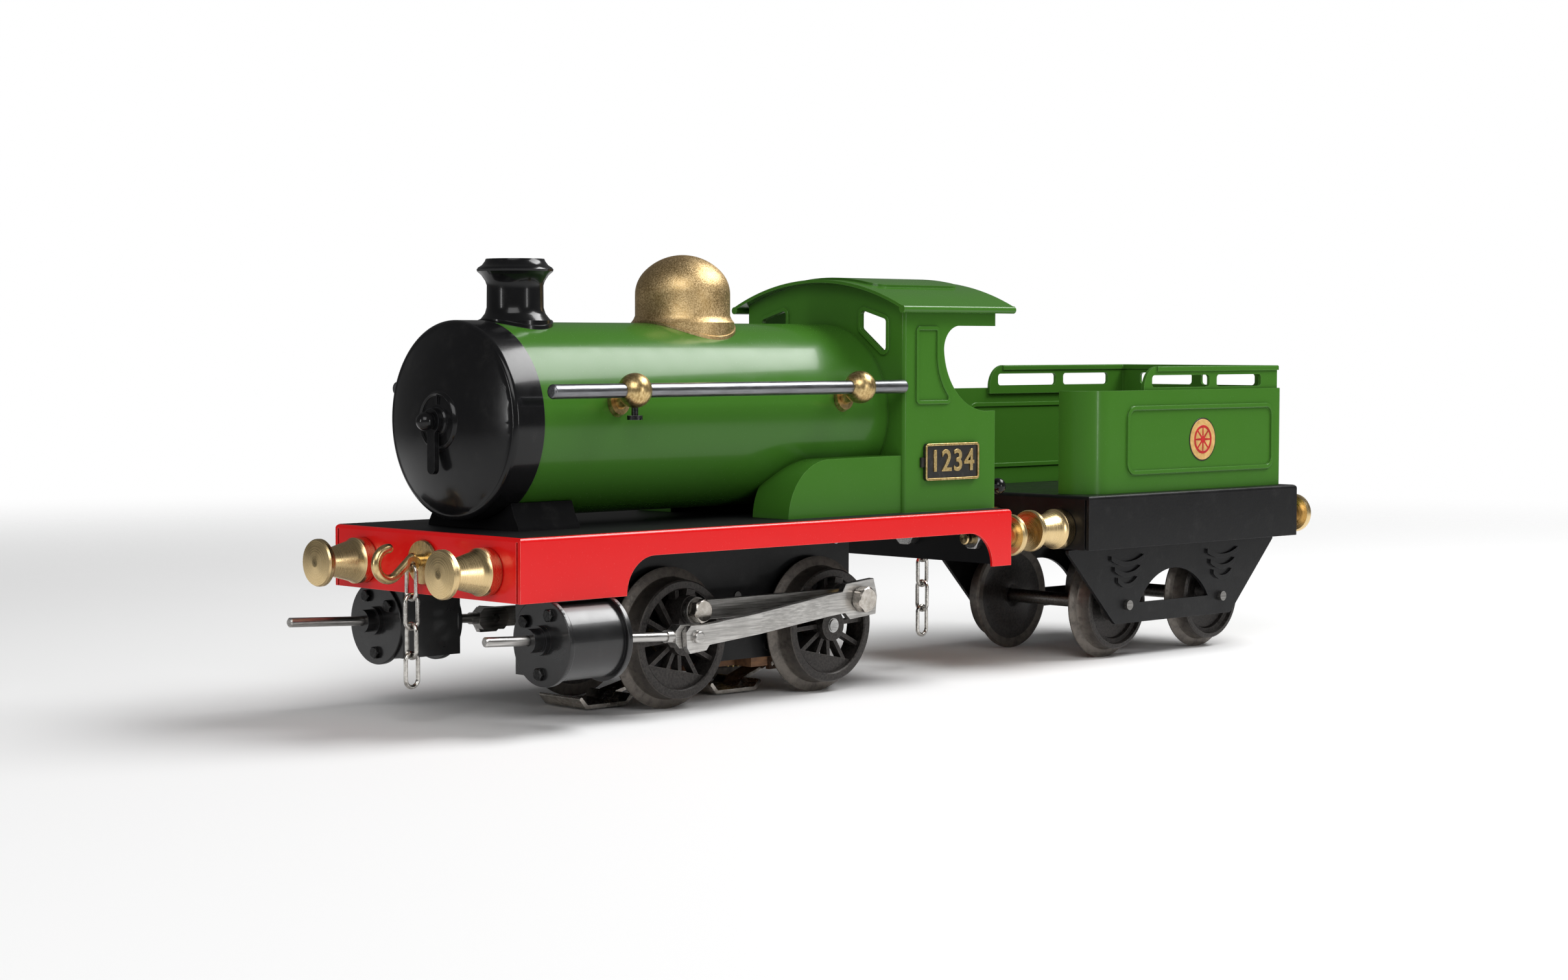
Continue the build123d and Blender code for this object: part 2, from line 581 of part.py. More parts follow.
def hook_shape():
    """Bent-wire hook with base disc, eye and threaded tail: forward is +X, up is +Z."""
    bar = 1.0
    bend = 3.1
    slope = math.radians(40)
    centre_x, centre_z = 9.1, 0.1
    low_x = centre_x - bend * math.sin(slope)
    low_z = centre_z - bend * math.cos(slope)
    shank_l = 5.2
    shank = Cylinder(bar, shank_l) + Pos(0, 0, -shank_l / 2) * Sphere(bar)
    middle = Vector(low_x - shank_l / 2 * math.cos(slope), 0, low_z + shank_l / 2 * math.sin(slope))
    hook = Plane(origin=middle, z_dir=(math.cos(slope), 0, -math.sin(slope))) * shank
    bow = Rot(0, 0, 230) * revolve(Plane.XZ * Pos(bend, 0) * Circle(bar), Axis.Z, 220)
    hook += Plane.XZ * Pos(centre_x, centre_z, 0) * bow
    hook += Pos(centre_x, 0, centre_z + bend) * Sphere(bar)
    hook += Pos(1.5, 0, 0.4) * Rot(0, 90, 0) * Cylinder(1.25, 3.0)
    hook += Pos(HOOK_EYE[0], 0, HOOK_EYE[1]) * Rot(90, 0, 0) * Cylinder(1.6, 1.0)
    for side in (-1, 1):
        hook -= Pos(HOOK_EYE[0], side * 1.5, HOOK_EYE[1]) * Rot(90, 0, 0) * Cylinder(1.7, 2.0)
    hook -= Pos(HOOK_EYE[0], 0, HOOK_EYE[1]) * Rot(90, 0, 0) * Cylinder(HOOK_HOLE_R, 4)
    disc = Rot(0, 90, 0) * turned([(0, 0), (4.5, 0), (4.6, 0.4), (4.4, 0.9), (0, 1.0)])
    tail = Pos(-3.4, 0, 0) * Rot(0, 90, 0) * Cylinder(1.65, 7.2)
    return hook + disc + tail


def hook(y, outward, z):
    """Hook on a beam at y, opening upwards."""
    place = Plane(origin=(0, y, z), x_dir=(0, outward, 0), z_dir=(0, 0, 1))
    return place * hook_shape()


def nut(x, y, z, outward, flats, thickness, bore):
    """Hexagonal nut against the inside of a beam, on a tail that points inwards."""
    piece = hexagon(flats, thickness) - Cylinder(bore, 20)
    place = Plane(origin=(x, y, z), x_dir=(1, 0, 0), z_dir=(0, -outward, 0))
    return place * piece


def chain_link():
    """Oval wire link standing in the XZ plane, the top wire's centre at the origin."""
    r = LINK_HALF_W
    half_torus = revolve(Plane.XY * Pos(r, 0, 0) * Circle(LINK_WIRE), Axis.Y, 180)
    bottom = half_torus if half_torus.bounding_box().min.Z < -LINK_WIRE - 0.1 else Rot(0, 180, 0) * half_torus
    top = Rot(0, 180, 0) * bottom
    straight = LINK_L - 2 * r
    link = Pos(0, 0, -r) * top + Pos(0, 0, -r - straight) * bottom
    for side in (-1, 1):
        link += rod_z(LINK_WIRE, -r - straight, -r, side * r, 0)
    return link


def chain(y, z, count):
    """Hanging links, alternately across and along the vehicle."""
    links = []
    for i in range(count):
        turn = 90 * (i % 2)
        links.append(Pos(0, y, z - i * LINK_STEP) * Rot(0, 0, turn) * chain_link())
    return links


# ---- cylinders and rods -------------------------------------------------------------


def piston_line(radius, y0, y1, x=CYL_X):
    """Bar along the sloping line of the piston rod."""
    a = math.radians(PISTON_DROP)
    length = (y1 - y0) / math.cos(a)
    place = Plane(origin=(x, y0, piston_z(y0)), x_dir=(1, 0, 0), z_dir=(0, math.cos(a), -math.sin(a)))
    return place * Pos(0, 0, length / 2) * Cylinder(radius, length)


def cylinder():
    """Left cylinder: barrel, covers, glands and the chest that hangs it from the deck."""
    y0, y1 = CYL_Y
    body = rod_y(CYL_R, y0, y1, CYL_X, CYL_Z)
    body += block(18.6, CYL_X + 1.0, y0 + 0.6, y1 - 0.6, CYL_Z - 7.0, DECK_Z - SHEET)
    for a, b in ((y0, y0 + 1.3), (y1 - 1.3, y1)):
        body += fillet(rod_y(CYL_FLANGE_R, a, b, CYL_X, CYL_Z).edges().filter_by(GeomType.CIRCLE), 0.25)
    body += rod_y(3.0, y0 - 1.2, y0 + 0.5, CYL_X, piston_z(y0))
    body += rod_y(2.4, y0 - 3.6, y0, CYL_X, piston_z(y0 - 2))
    body += rod_y(2.4, y1, y1 + 2.2, CYL_X, piston_z(y1 + 1))
    body -= block(DECK_W - SHEET - 0.1, 50, y0 - 5, y1 + 5, DECK_Z - BEAM_DEPTH - 0.15, DECK_Z + 1)
    body -= piston_line(PISTON_BORE, y0 - 8, y1 + 8)
    for degrees in SCREW_ANGLES:
        x, z = screw_place(degrees)
        body -= rod_y(0.82, y0 - 1, y0 + 4.1, x, z)
    return body


def screw_place(degrees):
    """Centre (x, z) of a cover screw."""
    a = math.radians(degrees)
    return CYL_X + SCREW_CIRCLE_R * math.cos(a), CYL_Z + SCREW_CIRCLE_R * math.sin(a)


def cover_screw(degrees):
    """Hexagon-headed cover screw."""
    x, z = screw_place(degrees)
    head = Plane(origin=(x, CYL_Y[0], z), x_dir=(1, 0, 0), z_dir=(0, -1, 0)) * hexagon(2.4, 1.0)
    return head + rod_y(0.8, CYL_Y[0], CYL_Y[0] + 4.0, x, z)


def piston_rod(offset_y):
    """Piston rod from tail tip to crosshead, with the crosshead's flat tongue."""
    rod = piston_line(PISTON_R, PISTON_Y0, 42.2)
    rod = chamfer(rod.edges().filter_by(GeomType.CIRCLE), 0.25)
    cy, cz = SMALL_LEFT
    tongue = block(-1.35, 1.35, -4.6, 3.4, -2.4, 2.4)
    tongue = chamfer(tongue.edges().filter_by(Axis.X), 1.1)
    tongue -= Rot(0, 90, 0) * Cylinder(1.0, 4)
    socket = Pos(0, -5.2, 0) * Rot(90, 0, 0) * Cylinder(1.3, 2.4)
    head = Pos(CYL_X, cy, cz) * Rot(-PISTON_DROP, 0, 0) * (tongue + socket)
    drop = -offset_y * math.tan(math.radians(PISTON_DROP))
    return Pos(0, offset_y, drop) * (rod + head)


def rod_plan():
    """Connecting rod seen from above: straight ends and a slanted middle."""
    y0, y1 = 30.0, 120.0
    outline = Polyline((ROD_X_FRONT[0], y0), (ROD_X_FRONT[1], y0), (ROD_X_FRONT[1], ROD_JOG[0]),
                       (ROD_X_REAR[1], ROD_JOG[1]), (ROD_X_REAR[1], y1), (ROD_X_REAR[0], y1),
                       (ROD_X_REAR[0], ROD_JOG[1]), (ROD_X_FRONT[0], ROD_JOG[0]), close=True)
    return extrude(make_face(outline), 60)


def connecting_rod(pin, small, shift):
    """Left-hand connecting rod between a crank pin and a crosshead, its rivet in place."""
    slope = math.degrees(math.atan2(pin[1] - small[1], pin[0] - small[0]))
    long = ROD_LENGTH
    profile = Polyline((-long - 3.0, -1.9), (-long - 2.2, -3.2), (-long + 2.4, -3.2), (-long + 3.4, -2.2),
                       (-5.0, -2.4), (-3.6, -4.0), (4.6, -4.0), (5.4, 0), (4.6, 4.0), (-4.2, 4.0),
                       (-5.4, 2.4), (-long + 3.0, 2.2), (-long - 1.6, 2.6), (-long - 3.0, 1.4), close=True)
    plate = extrude(side_plane(20, pin[0], pin[1], slope) * make_face(profile), 20)
    rod = plate & (Pos(0, shift, 0) * rod_plan())
    rod -= rod_x(PIN_HOLE_R, 20, 40, pin[0], pin[1])
    rivet = rod_x(1.35, ROD_X_FRONT[0] + 0.05, ROD_X_FRONT[1] + 1.1, small[0], small[1])
    rivet = fillet(rivet.edges().filter_by(GeomType.CIRCLE).sort_by(Axis.X)[-1], 0.5)
    return rod + rivet


def coupling_rod(pin_angle):
    """Left-hand side rod joining the two crank pins of one side."""
    y0, z = crank_pin(LOCO_AXLES[0], pin_angle)
    y1, z = crank_pin(LOCO_AXLES[1], pin_angle)
    bar = block(COUPLING_ROD_X[0], COUPLING_ROD_X[1], y0, y1, z - 2.1, z + 2.1)
    for y in (y0, y1):
        bar += rod_x(2.9, COUPLING_ROD_X[0], COUPLING_ROD_X[1], y, z)
    for y in (y0, y1):
        bar -= rod_x(PIN_HOLE_R, 20, 24, y, z)
    return bar


# ---- engine wheels ------------------------------------------------------------------


def driving_wheel():
    """Spoked wheel on Z, the crank along +X, heights measured from the centre line."""
    rim = turned([(10.6, 14.6), (14.5, 14.4), (LOCO_FLANGE_R, 14.7), (LOCO_FLANGE_R, 15.0), (14.3, 15.5),
                  (13.1, 15.8), (LOCO_TREAD_R + 0.15, 16.2), (LOCO_TREAD_R - 0.1, 19.7), (12.3, WHEEL_OUT),
                  (10.9, WHEEL_OUT), (10.6, 19.7)])
    wheel = rim + Pos(0, 0, (WHEEL_IN + 20.5) / 2) * Cylinder(3.4, 20.5 - WHEEL_IN)
    for i in range(SPOKES):
        spoke = Pos(6.7, 0, 17.6) * Box(8.6, 0.95, 2.2)
        wheel += Rot(0, 0, 360 / SPOKES * (i + 0.5)) * spoke
    weight = Circle(10.9) & (Pos(-12.6, 0) * Rectangle(12.0, 30))
    wheel += Pos(0, 0, 15.9) * extrude(weight, 3.0)
    wheel += Pos(CRANK_THROW, 0, (16.2 + BOSS_OUT) / 2) * Cylinder(3.1, BOSS_OUT - 16.2)
    wheel += Pos(CRANK_THROW / 2, 0, (16.2 + 20.4) / 2) * Box(CRANK_THROW, 4.4, 20.4 - 16.2)
    wheel += Pos(CRANK_THROW + 3.0, 0, (16.2 + 20.2) / 2) * Box(2.6, 2.4, 20.2 - 16.2)
    wheel -= Cylinder(AXLE_R + 0.02, 60)
    return wheel - Pos(CRANK_THROW, 0, 16.0) * Cylinder(1.25, 20)


def driving_wheels(axle_y):
    """Both quartered wheels of one engine axle."""
    left = side_plane(0, axle_y, LOCO_AXLE_Z, CRANK_LEFT) * driving_wheel()
    right = side_plane(0, axle_y, LOCO_AXLE_Z, CRANK_RIGHT, outward=-1) * driving_wheel()
    return left, right


def axle(y, z, radius, journal_r, shoulder, end):
    """Plain axle with reduced ends."""
    bar = rod_x(radius, -shoulder, shoulder, y, z)
    for side in (-1, 1):
        xs = sorted((side * shoulder, side * end))
        bar += rod_x(journal_r, xs[0], xs[1], y, z)
    return bar


def crank_bolt(length, head_from, flats):
    """Shouldered crank bolt on Z from the wheel's boss outwards."""
    bolt = Pos(0, 0, BOSS_OUT - 2.3) * Cylinder(1.2, 4.6)
    bolt += Pos(0, 0, (BOSS_OUT + head_from) / 2) * Cylinder(PIN_R, head_from - BOSS_OUT)
    return bolt + Pos(0, 0, head_from) * hexagon(flats, length)


def crank_bolts(axle_y, length, head_from, flats):
    """The crank bolts of one engine axle."""
    bolts = []
    for degrees, outward in ((CRANK_LEFT, 1.0), (CRANK_RIGHT, -1.0)):
        y, z = crank_pin(axle_y, degrees)
        bolts.append(side_plane(0, y, z, 17.0, outward) * crank_bolt(length, head_from, flats))
    return bolts


def crank_bushes():
    """Brass distance bushes between the rods on the rear crank pins."""
    x0 = COUPLING_ROD_X[1] + 0.08
    x1 = ROD_X_REAR[0] - 0.08
    y, z = PIN_LEFT
    left = rod_x(2.7, x0, x1, y, z) - rod_x(PIN_R + 0.02, x0 - 1, x1 + 1, y, z)
    y, z = PIN_RIGHT
    right = rod_x(2.7, -x1, -x0, y, z) - rod_x(PIN_R + 0.02, -x1 - 1, -x0 + 1, y, z)
    return left, right


# ---- mechanism ----------------------------------------------------------------------


def side_frame(side):
    """Mechanism side plate hanging from the deck."""
    low = 8.6
    top = DECK_Z - SHEET
    outline = Polyline((44.0, top), (44.0, 22.0), (48.0, low), (104.0, low), (110.9, 22.0), (110.9, top), close=True)
    xs = sorted((side * FRAME_X[0], side * FRAME_X[1]))
    plate = extrude(side_plane(xs[0]) * make_face(outline), xs[1] - xs[0])
    for y in LOCO_AXLES:
        plate -= rod_x(2.65, xs[0] - 1, xs[1] + 1, y, LOCO_AXLE_Z)
    plate -= rod_x(1.05, xs[0] - 1, xs[1] + 1, MOTOR_Y, MOTOR_Z)
    for y, z in SPACERS:
        plate -= rod_x(1.02, xs[0] - 1, xs[1] + 1, y, z)
    if side < 0:
        plate += rod_x(1.0, -FRAME_X[0] - 0.5, -9.1, IDLER_Y, IDLER_Z)
    return plate


def frame_spacer(y, z):
    """Distance bar with riveted ends between the side frames."""
    return axle(y, z, 1.6, 1.0, FRAME_X[0], FRAME_X[1] + 0.3)


def axle_bush(side, y):
    """Flanged brass axle bush in a side frame."""
    xs = sorted((side * FRAME_X[0], side * (FRAME_X[1] + 0.1)))
    flange = sorted((side * (FRAME_X[1] + 0.02), side * (FRAME_X[1] + 0.75)))
    bush = rod_x(2.6, xs[0], xs[1], y, LOCO_AXLE_Z) + rod_x(3.3, flange[0], flange[1], y, LOCO_AXLE_Z)
    return bush - rod_x(AXLE_R + 0.06, -20, 20, y, LOCO_AXLE_Z)


def field_magnet():
    """Laminated field magnet around the armature."""
    low, high = 13.0, 36.0
    stack = block(-7, 7, MOTOR_Y - 13.8, MOTOR_Y + 13.8, low, high)
    stack = fillet(stack.edges().filter_by(Axis.X), 2.5)
    stack -= rod_x(9.1, -8, 8, MOTOR_Y, MOTOR_Z)
    stack -= block(-8, 8, MOTOR_Y - 7.3, MOTOR_Y + 7.3, 29.0, 33.0)
    stack -= block(-8, 8, MOTOR_Y - 2.5, MOTOR_Y + 2.5, low - 1, 15.0)
    for side in (-1, 1):
        xs = sorted((side * 7.0, side * FRAME_X[0]))
        for y in (-11.6, 7.6):
            stack += rod_x(1.3, xs[0], xs[1], MOTOR_Y + y, 14.9)
    return stack


def field_coil():
    """Wound coil on the magnet's yoke."""
    coil = block(-8.7, 8.7, MOTOR_Y - 6.8, MOTOR_Y + 6.8, 31.6, 37.6)
    coil = fillet(coil.edges().filter_by(Axis.Y), 1.2)
    return coil - block(-7.05, 7.05, MOTOR_Y - 8, MOTOR_Y + 8, 32.95, 36.05)


def gear(teeth, x0, x1, y, z, phase, bore):
    """Spur gear along X; a tooth points `phase` degrees above straight back."""
    pitch_r = MODULE * teeth / 2
    root = Circle(pitch_r - 0.55)
    for i in range(teeth):
        tooth = Polyline((pitch_r - 0.8, -0.42), (pitch_r + 0.4, -0.16), (pitch_r + 0.4, 0.16),
                         (pitch_r - 0.8, 0.42), close=True)
        root += Rot(0, 0, 360 / teeth * i) * make_face(tooth)
    root -= Circle(bore)
    return extrude(side_plane(x0, y, z, phase) * root, x1 - x0)


def line_angle(y0, z0, y1, z1):
    """Angle of the line between two shafts, in degrees above straight back."""
    return math.degrees(math.atan2(z1 - z0, y1 - y0))


def armature():
    """Three-pole armature with shaft, commutator and pinion."""
    shaft = rod_x(1.0, -FRAME_X[1] - 0.2, FRAME_X[1] + 0.2, MOTOR_Y, MOTOR_Z)
    rotor = rod_x(8.5, -6.5, 6.5, MOTOR_Y, MOTOR_Z)
    for i in range(3):
        slot = Pos(0, 7.2, 0) * Box(14, 6.0, 2.6)
        rotor -= Pos(0, MOTOR_Y, MOTOR_Z) * Rot(60 + 120 * i, 0, 0) * slot
    commutator = rod_x(4.6, 7.4, 9.4, MOTOR_Y, MOTOR_Z)
    angle = line_angle(MOTOR_Y, MOTOR_Z, IDLER_Y, IDLER_Z)
    pinion = gear(TEETH_PINION, GEAR_FAST_X[0], GEAR_FAST_X[1], MOTOR_Y, MOTOR_Z, angle, 0.9)
    return shaft + rotor + commutator + pinion


def idler_gear():
    """Wheel and pinion in one, running on a stud."""
    back = line_angle(IDLER_Y, IDLER_Z, MOTOR_Y, MOTOR_Z)
    wheel = gear(TEETH_IDLER, GEAR_FAST_X[0], GEAR_FAST_X[1], IDLER_Y, IDLER_Z, back + 180 / TEETH_IDLER, 1.06)
    out = line_angle(IDLER_Y, IDLER_Z, LOCO_AXLES[1], LOCO_AXLE_Z)
    pinion = gear(TEETH_IDLER_PINION, GEAR_SLOW_X[0], GEAR_SLOW_X[1], IDLER_Y, IDLER_Z, out, 1.06)
    sleeve = rod_x(2.4, GEAR_SLOW_X[0], GEAR_FAST_X[1], IDLER_Y, IDLER_Z)
    sleeve -= rod_x(1.06, -20, 0, IDLER_Y, IDLER_Z)
    return wheel + pinion + sleeve


def axle_gear():
    """Gear fixed on the rear axle."""
    back = line_angle(LOCO_AXLES[1], LOCO_AXLE_Z, IDLER_Y, IDLER_Z)
    wheel = gear(TEETH_AXLE, GEAR_SLOW_X[0], GEAR_SLOW_X[1], LOCO_AXLES[1], LOCO_AXLE_Z,
                 back + 180 / TEETH_AXLE, AXLE_R + 0.02)
    return wheel


def collector_base():
    """Insulating bar under the mechanism that carries both shoes."""
    low, high = 6.6, 8.6
    bar = block(-8.0, 8.0, 59.0, 99.0, low, high)
    bar = fillet(bar.edges().filter_by(Axis.Z), 2.0)
    for side in (-1, 1):
        xs = sorted((side * 7.9, side * FRAME_X[1]))
        bar += block(xs[0], xs[1], 64.0, 69.0, low, high)
        bar += block(xs[0], xs[1], 80.0, 85.0, low, high)
        xs = sorted((side * 2.9, side * 4.0))
        for y in SHOE_ROOTS:
            bar += block(xs[0], xs[1], y - 1.3, y + 1.3, SHOE_ROOT_Z - 1.2, low + 0.1)
    for y in SHOE_ROOTS:
        bar -= rod_x(0.63, -5, 5, y, SHOE_ROOT_Z)
    return bar


def strip(points, thickness, half_w):
    """Bent strip across the engine from (y, z) points along its upper side."""
    line = Polyline(*points)
    face = make_face(offset(line, thickness / 2, kind=Kind.ARC, side=Side.BOTH).edges())
    return extrude(side_plane(-half_w) * face, 2 * half_w)


def collector_shoe(ys, root_y, low):
    """Ski-shaped pick-up: sole turned up at both ends and an arm back to its root."""
    y0, y1 = ys
    sole = strip([(y0 - 1.6, low + 2.2), (y0, low + 0.45), (y1, low + 0.45), (y1 + 1.6, low + 2.0)], 0.8, 6.7)
    arm = strip([(y1 - 1.0, low + 0.6), (y1 + 1.0, low + 2.4), (root_y, SHOE_ROOT_Z)], 0.7, 2.6)
    root = rod_x(0.58, -3.8, 3.8, root_y, SHOE_ROOT_Z)
    return sole + arm + root


def reversing_lever():
    """Flat lever with a ball grip, turning on a stud in the cab floor."""
    y = LEVER_PIVOT_Y
    low = LEVER_Z - 0.5
    high = LEVER_Z + 0.5
    arm = block(LEVER_X - 1.1, LEVER_X + 1.1, y, LEVER_END, low, high)
    boss = rod_z(2.6, DECK_Z + 0.05, high, LEVER_X, y)
    grip = Pos(LEVER_X, LEVER_END + 0.8, LEVER_Z) * Sphere(1.9)
    return arm + boss + grip - rod_z(LEVER_STUD_R + 0.06, DECK_Z, high + 1, LEVER_X, y)


# ---- tender -------------------------------------------------------------------------


def tender_frame():
    """Tender deck with folded sides and beams."""
    tray = folded_tray(TENDER_W, TENDER_Y[0], TENDER_Y[1], TENDER_DECK_Z, BEAM_DEPTH, 0.9)
    for x in (-BUFFER_X, BUFFER_X):
        tray -= rod_y(1.55, TENDER_Y[0] - 1, TENDER_Y[1] + 1, x, TENDER_BUFFER_Z)
    return tray - rod_y(1.75, TENDER_Y[0] - 1, TENDER_Y[1] + 1, 0, TENDER_BUFFER_Z)


def tank_outline(inset):
    """Plan of the tank: large front corners and tight rear ones."""
    y0 = TANK_Y[0] + inset
    y1 = TANK_Y[1] - inset
    plan = Pos(0, (y0 + y1) / 2) * Rectangle(2 * (TANK_W - inset), y1 - y0)
    plan = fillet(plan.vertices().group_by(Axis.Y)[0], TANK_CORNER - inset)
    return fillet(plan.vertices().group_by(Axis.Y)[-1], max(TANK_REAR_CORNER - inset, 0.2))


def tender_tank():
    """Tank sides, back and turned-in front edges from one sheet, with pressed panels."""
    z = TENDER_DECK_Z
    walls = extrude(tank_outline(0) - tank_outline(THIN), TANK_H)
    walls = Pos(0, 0, z) * walls
    walls -= block(-TANK_OPENING, TANK_OPENING, TANK_Y[0] - 1, TANK_Y[0] + 5, z - 1, z + TANK_H + 1)
    panel = bead(rounded_rect(*PANEL_SIZE, 3.0), 1.05, 0.5)
    side = side_plane(TANK_W, PANEL_Y, PANEL_Z) * panel
    inside = bead(rounded_rect(*PANEL_SIZE, 3.0), 1.05, 0.35)
    back_of_side = side_plane(TANK_W - THIN, PANEL_Y, PANEL_Z, outward=-1) * inside
    walls = walls + side + other_side(side) + back_of_side + other_side(back_of_side)
    back_panel = bead(rounded_rect(36.0, PANEL_SIZE[1], 3.0), 1.05, 0.5)
    back = Plane(origin=(0, TANK_Y[1], PANEL_Z), x_dir=(-1, 0, 0), z_dir=(0, 1, 0)) * back_panel
    return walls + back


def coal_rails():
    """Raised coal rail inside the tank's top edge: two sides and the back."""
    base = TENDER_DECK_Z + TANK_H - 1.5
    inner_gap = THIN + 0.02
    outer = tank_outline(inner_gap)
    ring = outer - tank_outline(inner_gap + COAL_WALL)
    band = Pos(0, 0, base) * extrude(ring, COAL_TOP - base)
    keep = Polyline((COAL_Y0, base - 1), (300, base - 1), (300, COAL_TOP), (COAL_Y0 + 5.4, COAL_TOP), close=False)
    nose = ThreePointArc((COAL_Y0 + 5.4, COAL_TOP), (COAL_Y0 + 1.6, COAL_TOP - 1.6), (COAL_Y0, COAL_TOP - 5.4))
    down = Line((COAL_Y0, COAL_TOP - 5.4), (COAL_Y0, base - 1))
    band &= extrude(side_plane(-40) * make_face(keep + nose + down), 80)
    low = TENDER_DECK_Z + TANK_H + 0.6
    high = COAL_TOP - 2.2
    mid = (low + high) / 2
    for y0, y1 in ((COAL_Y0 + 3.2, 228.9), (231.9, 250.6)):
        hole = extrude(side_plane(-40, (y0 + y1) / 2, mid) * rounded_rect(y1 - y0, high - low, 0.9), 80)
        band -= hole
    for x0, x1 in ((-18.5, -1.5), (1.5, 18.5)):
        window = rounded_rect(x1 - x0, high - low, 0.9)
        place = Plane(origin=((x0 + x1) / 2, 240, mid), x_dir=(1, 0, 0), z_dir=(0, -1, 0))
        band -= extrude(place * window, -40)
    lip = tank_outline(inner_gap - 0.45) - tank_outline(inner_gap + COAL_WALL + 0.35)
    roll = Pos(0, 0, COAL_TOP - 1.2) * extrude(lip, 1.2)
    roll = fillet(roll.edges().group_by(Axis.Z)[-1], 0.4)
    roll -= block(-40, 40, 100, COAL_Y0 + 5.0, 0, 200)
    return band + roll


def leaf_rib(y, z, half, rise):
    """One curved leaf of the pressed spring detail, in (y, z)."""
    lower = ThreePointArc((y - half, z), (y, z - rise), (y + half, z))
    upper = ThreePointArc((y + half, z + 1.1), (y, z + 1.1 - rise), (y - half, z + 1.1))
    ends = Line((y + half, z), (y + half, z + 1.1)) + Line((y - half, z + 1.1), (y - half, z))
    return make_face(lower + ends + upper)


def axle_guard():
    """Left axle guard: tapering plate, arched opening, pressed springs, axle holes."""
    top = TENDER_DECK_Z - SHEET
    mid_y = sum(TENDER_AXLES) / 2
    below = TENDER_DECK_Z - BEAM_DEPTH - 0.4
    right = [(35.0, top), (35.0, below), (41.4, below), (41.4, 27.0), (24.2, 9.6), (23.2, 8.9)]
    points = [(mid_y + y, z) for y, z in right] + [(mid_y - y, z) for y, z in reversed(right)]
    outline = Polyline(*points, close=True)
    plate = extrude(side_plane(GUARD_X[0]) * make_face(outline), GUARD_X[1] - GUARD_X[0])
    arch = ThreePointArc((mid_y - 14.0, 13.7), (mid_y, 21.6), (mid_y + 14.0, 13.7))
    sill = Line((mid_y + 14.0, 13.7), (mid_y - 14.0, 13.7))
    plate -= extrude(side_plane(GUARD_X[0] - 1) * make_face(arch + sill), 4)
    for y in TENDER_AXLES:
        out = math.copysign(1.0, y - mid_y)
        for i in range(3):
            rib = leaf_rib(y + out * 0.3, 24.6 - 2.7 * i, 6.4 - 1.3 * i, 1.6)
            plate += extrude(side_plane(GUARD_X[1] - 0.05) * rib, 0.65)
        plate -= rod_x(1.27, GUARD_X[0] - 1, GUARD_X[1] + 2, y, TENDER_FLANGE_R)
    flange = block(TENDER_W - 10.0, GUARD_X[0] + 0.1, mid_y - 30, mid_y + 30, top - SHEET, top)
    return plate + flange


def tender_wheel():
    """Turned disc wheel on Z with a stepped rim, heights from the centre line."""
    f = TENDER_FLANGE_R
    t = TENDER_TREAD_R
    return turned([(1.73, 14.6), (3.0, 14.2), (9.0, 15.0), (f - 0.6, 14.4), (f, 14.7), (f, 15.0), (f - 0.8, 15.5),
                   (t + 0.3, 15.8), (t, 16.3), (t - 0.2, 19.1), (t - 0.5, 19.4), (t - 1.3, 19.4), (t - 1.6, 18.4),
                   (t - 2.6, 18.2), (t - 2.9, 17.4), (4.2, 17.2), (3.4, 18.8), (3.0, 19.4), (1.73, 19.4)])


def tender_wheels(y):
    """Both wheels of one tender axle."""
    left = side_plane(0, y, TENDER_FLANGE_R) * tender_wheel()
    return left, other_side(left)


def coupling_link():
    """Long link between the engine's rear hook and the tender's front hook."""
    r = 2.75
    half = (COUPLING_YS[1] - COUPLING_YS[0]) / 2
    ring = SlotCenterToCenter(2 * (half - r), 2 * r)
    path = ring.wire()
    section = Plane(origin=path @ 0, z_dir=path % 0) * Circle(0.5)
    loop = sweep(section, path=path)
    return Pos(0, sum(COUPLING_YS) / 2, COUPLING_Z) * Rot(0, 0, 90) * loop


# ---- write the parts ----------------------------------------------------------------

os.makedirs("parts", exist_ok=True)

save("footplate", footplate())
save("boiler_barrel", boiler_barrel())
save("smokebox_front", smokebox_front())
save("smokebox_saddle", smokebox_saddle())
save("door_handle", door_handle())
save("chimney", chimney())
save("dome", dome())
save("handrails", handrail(-1), handrail(1))
save("handrail_knobs", *[handrail_knob(s, y) for s in (-1, 1) for y in KNOB_YS])
save("knob_screws", *[knob_screw(s, KNOB_YS[0]) for s in (-1, 1)])
save("cab_body", cab_body())
save("cab_roof", cab_roof())
save("splashers", splasher(), other_side(splasher()))
save("number_plates", number_plate(), other_side(number_plate()))
save("loco_buffers", *buffer_pair(0, -1, BUFFER_Z), *buffer_pair(DECK_L, 1, BUFFER_Z))

small_nuts = []
for beam_y, outward in ((SHEET, -1), (DECK_L - SHEET, 1)):
    for x in (-BUFFER_X, BUFFER_X):
        small_nuts.append(nut(x, beam_y, BUFFER_Z, outward, 5.0, 2.0, 1.47))
    small_nuts.append(nut(0, beam_y, HOOK_Z, outward, 6.4, 2.6, 1.67))
save("beam_nuts", *small_nuts)
save("loco_hooks", hook(0, -1, HOOK_Z), hook(DECK_L, 1, HOOK_Z))

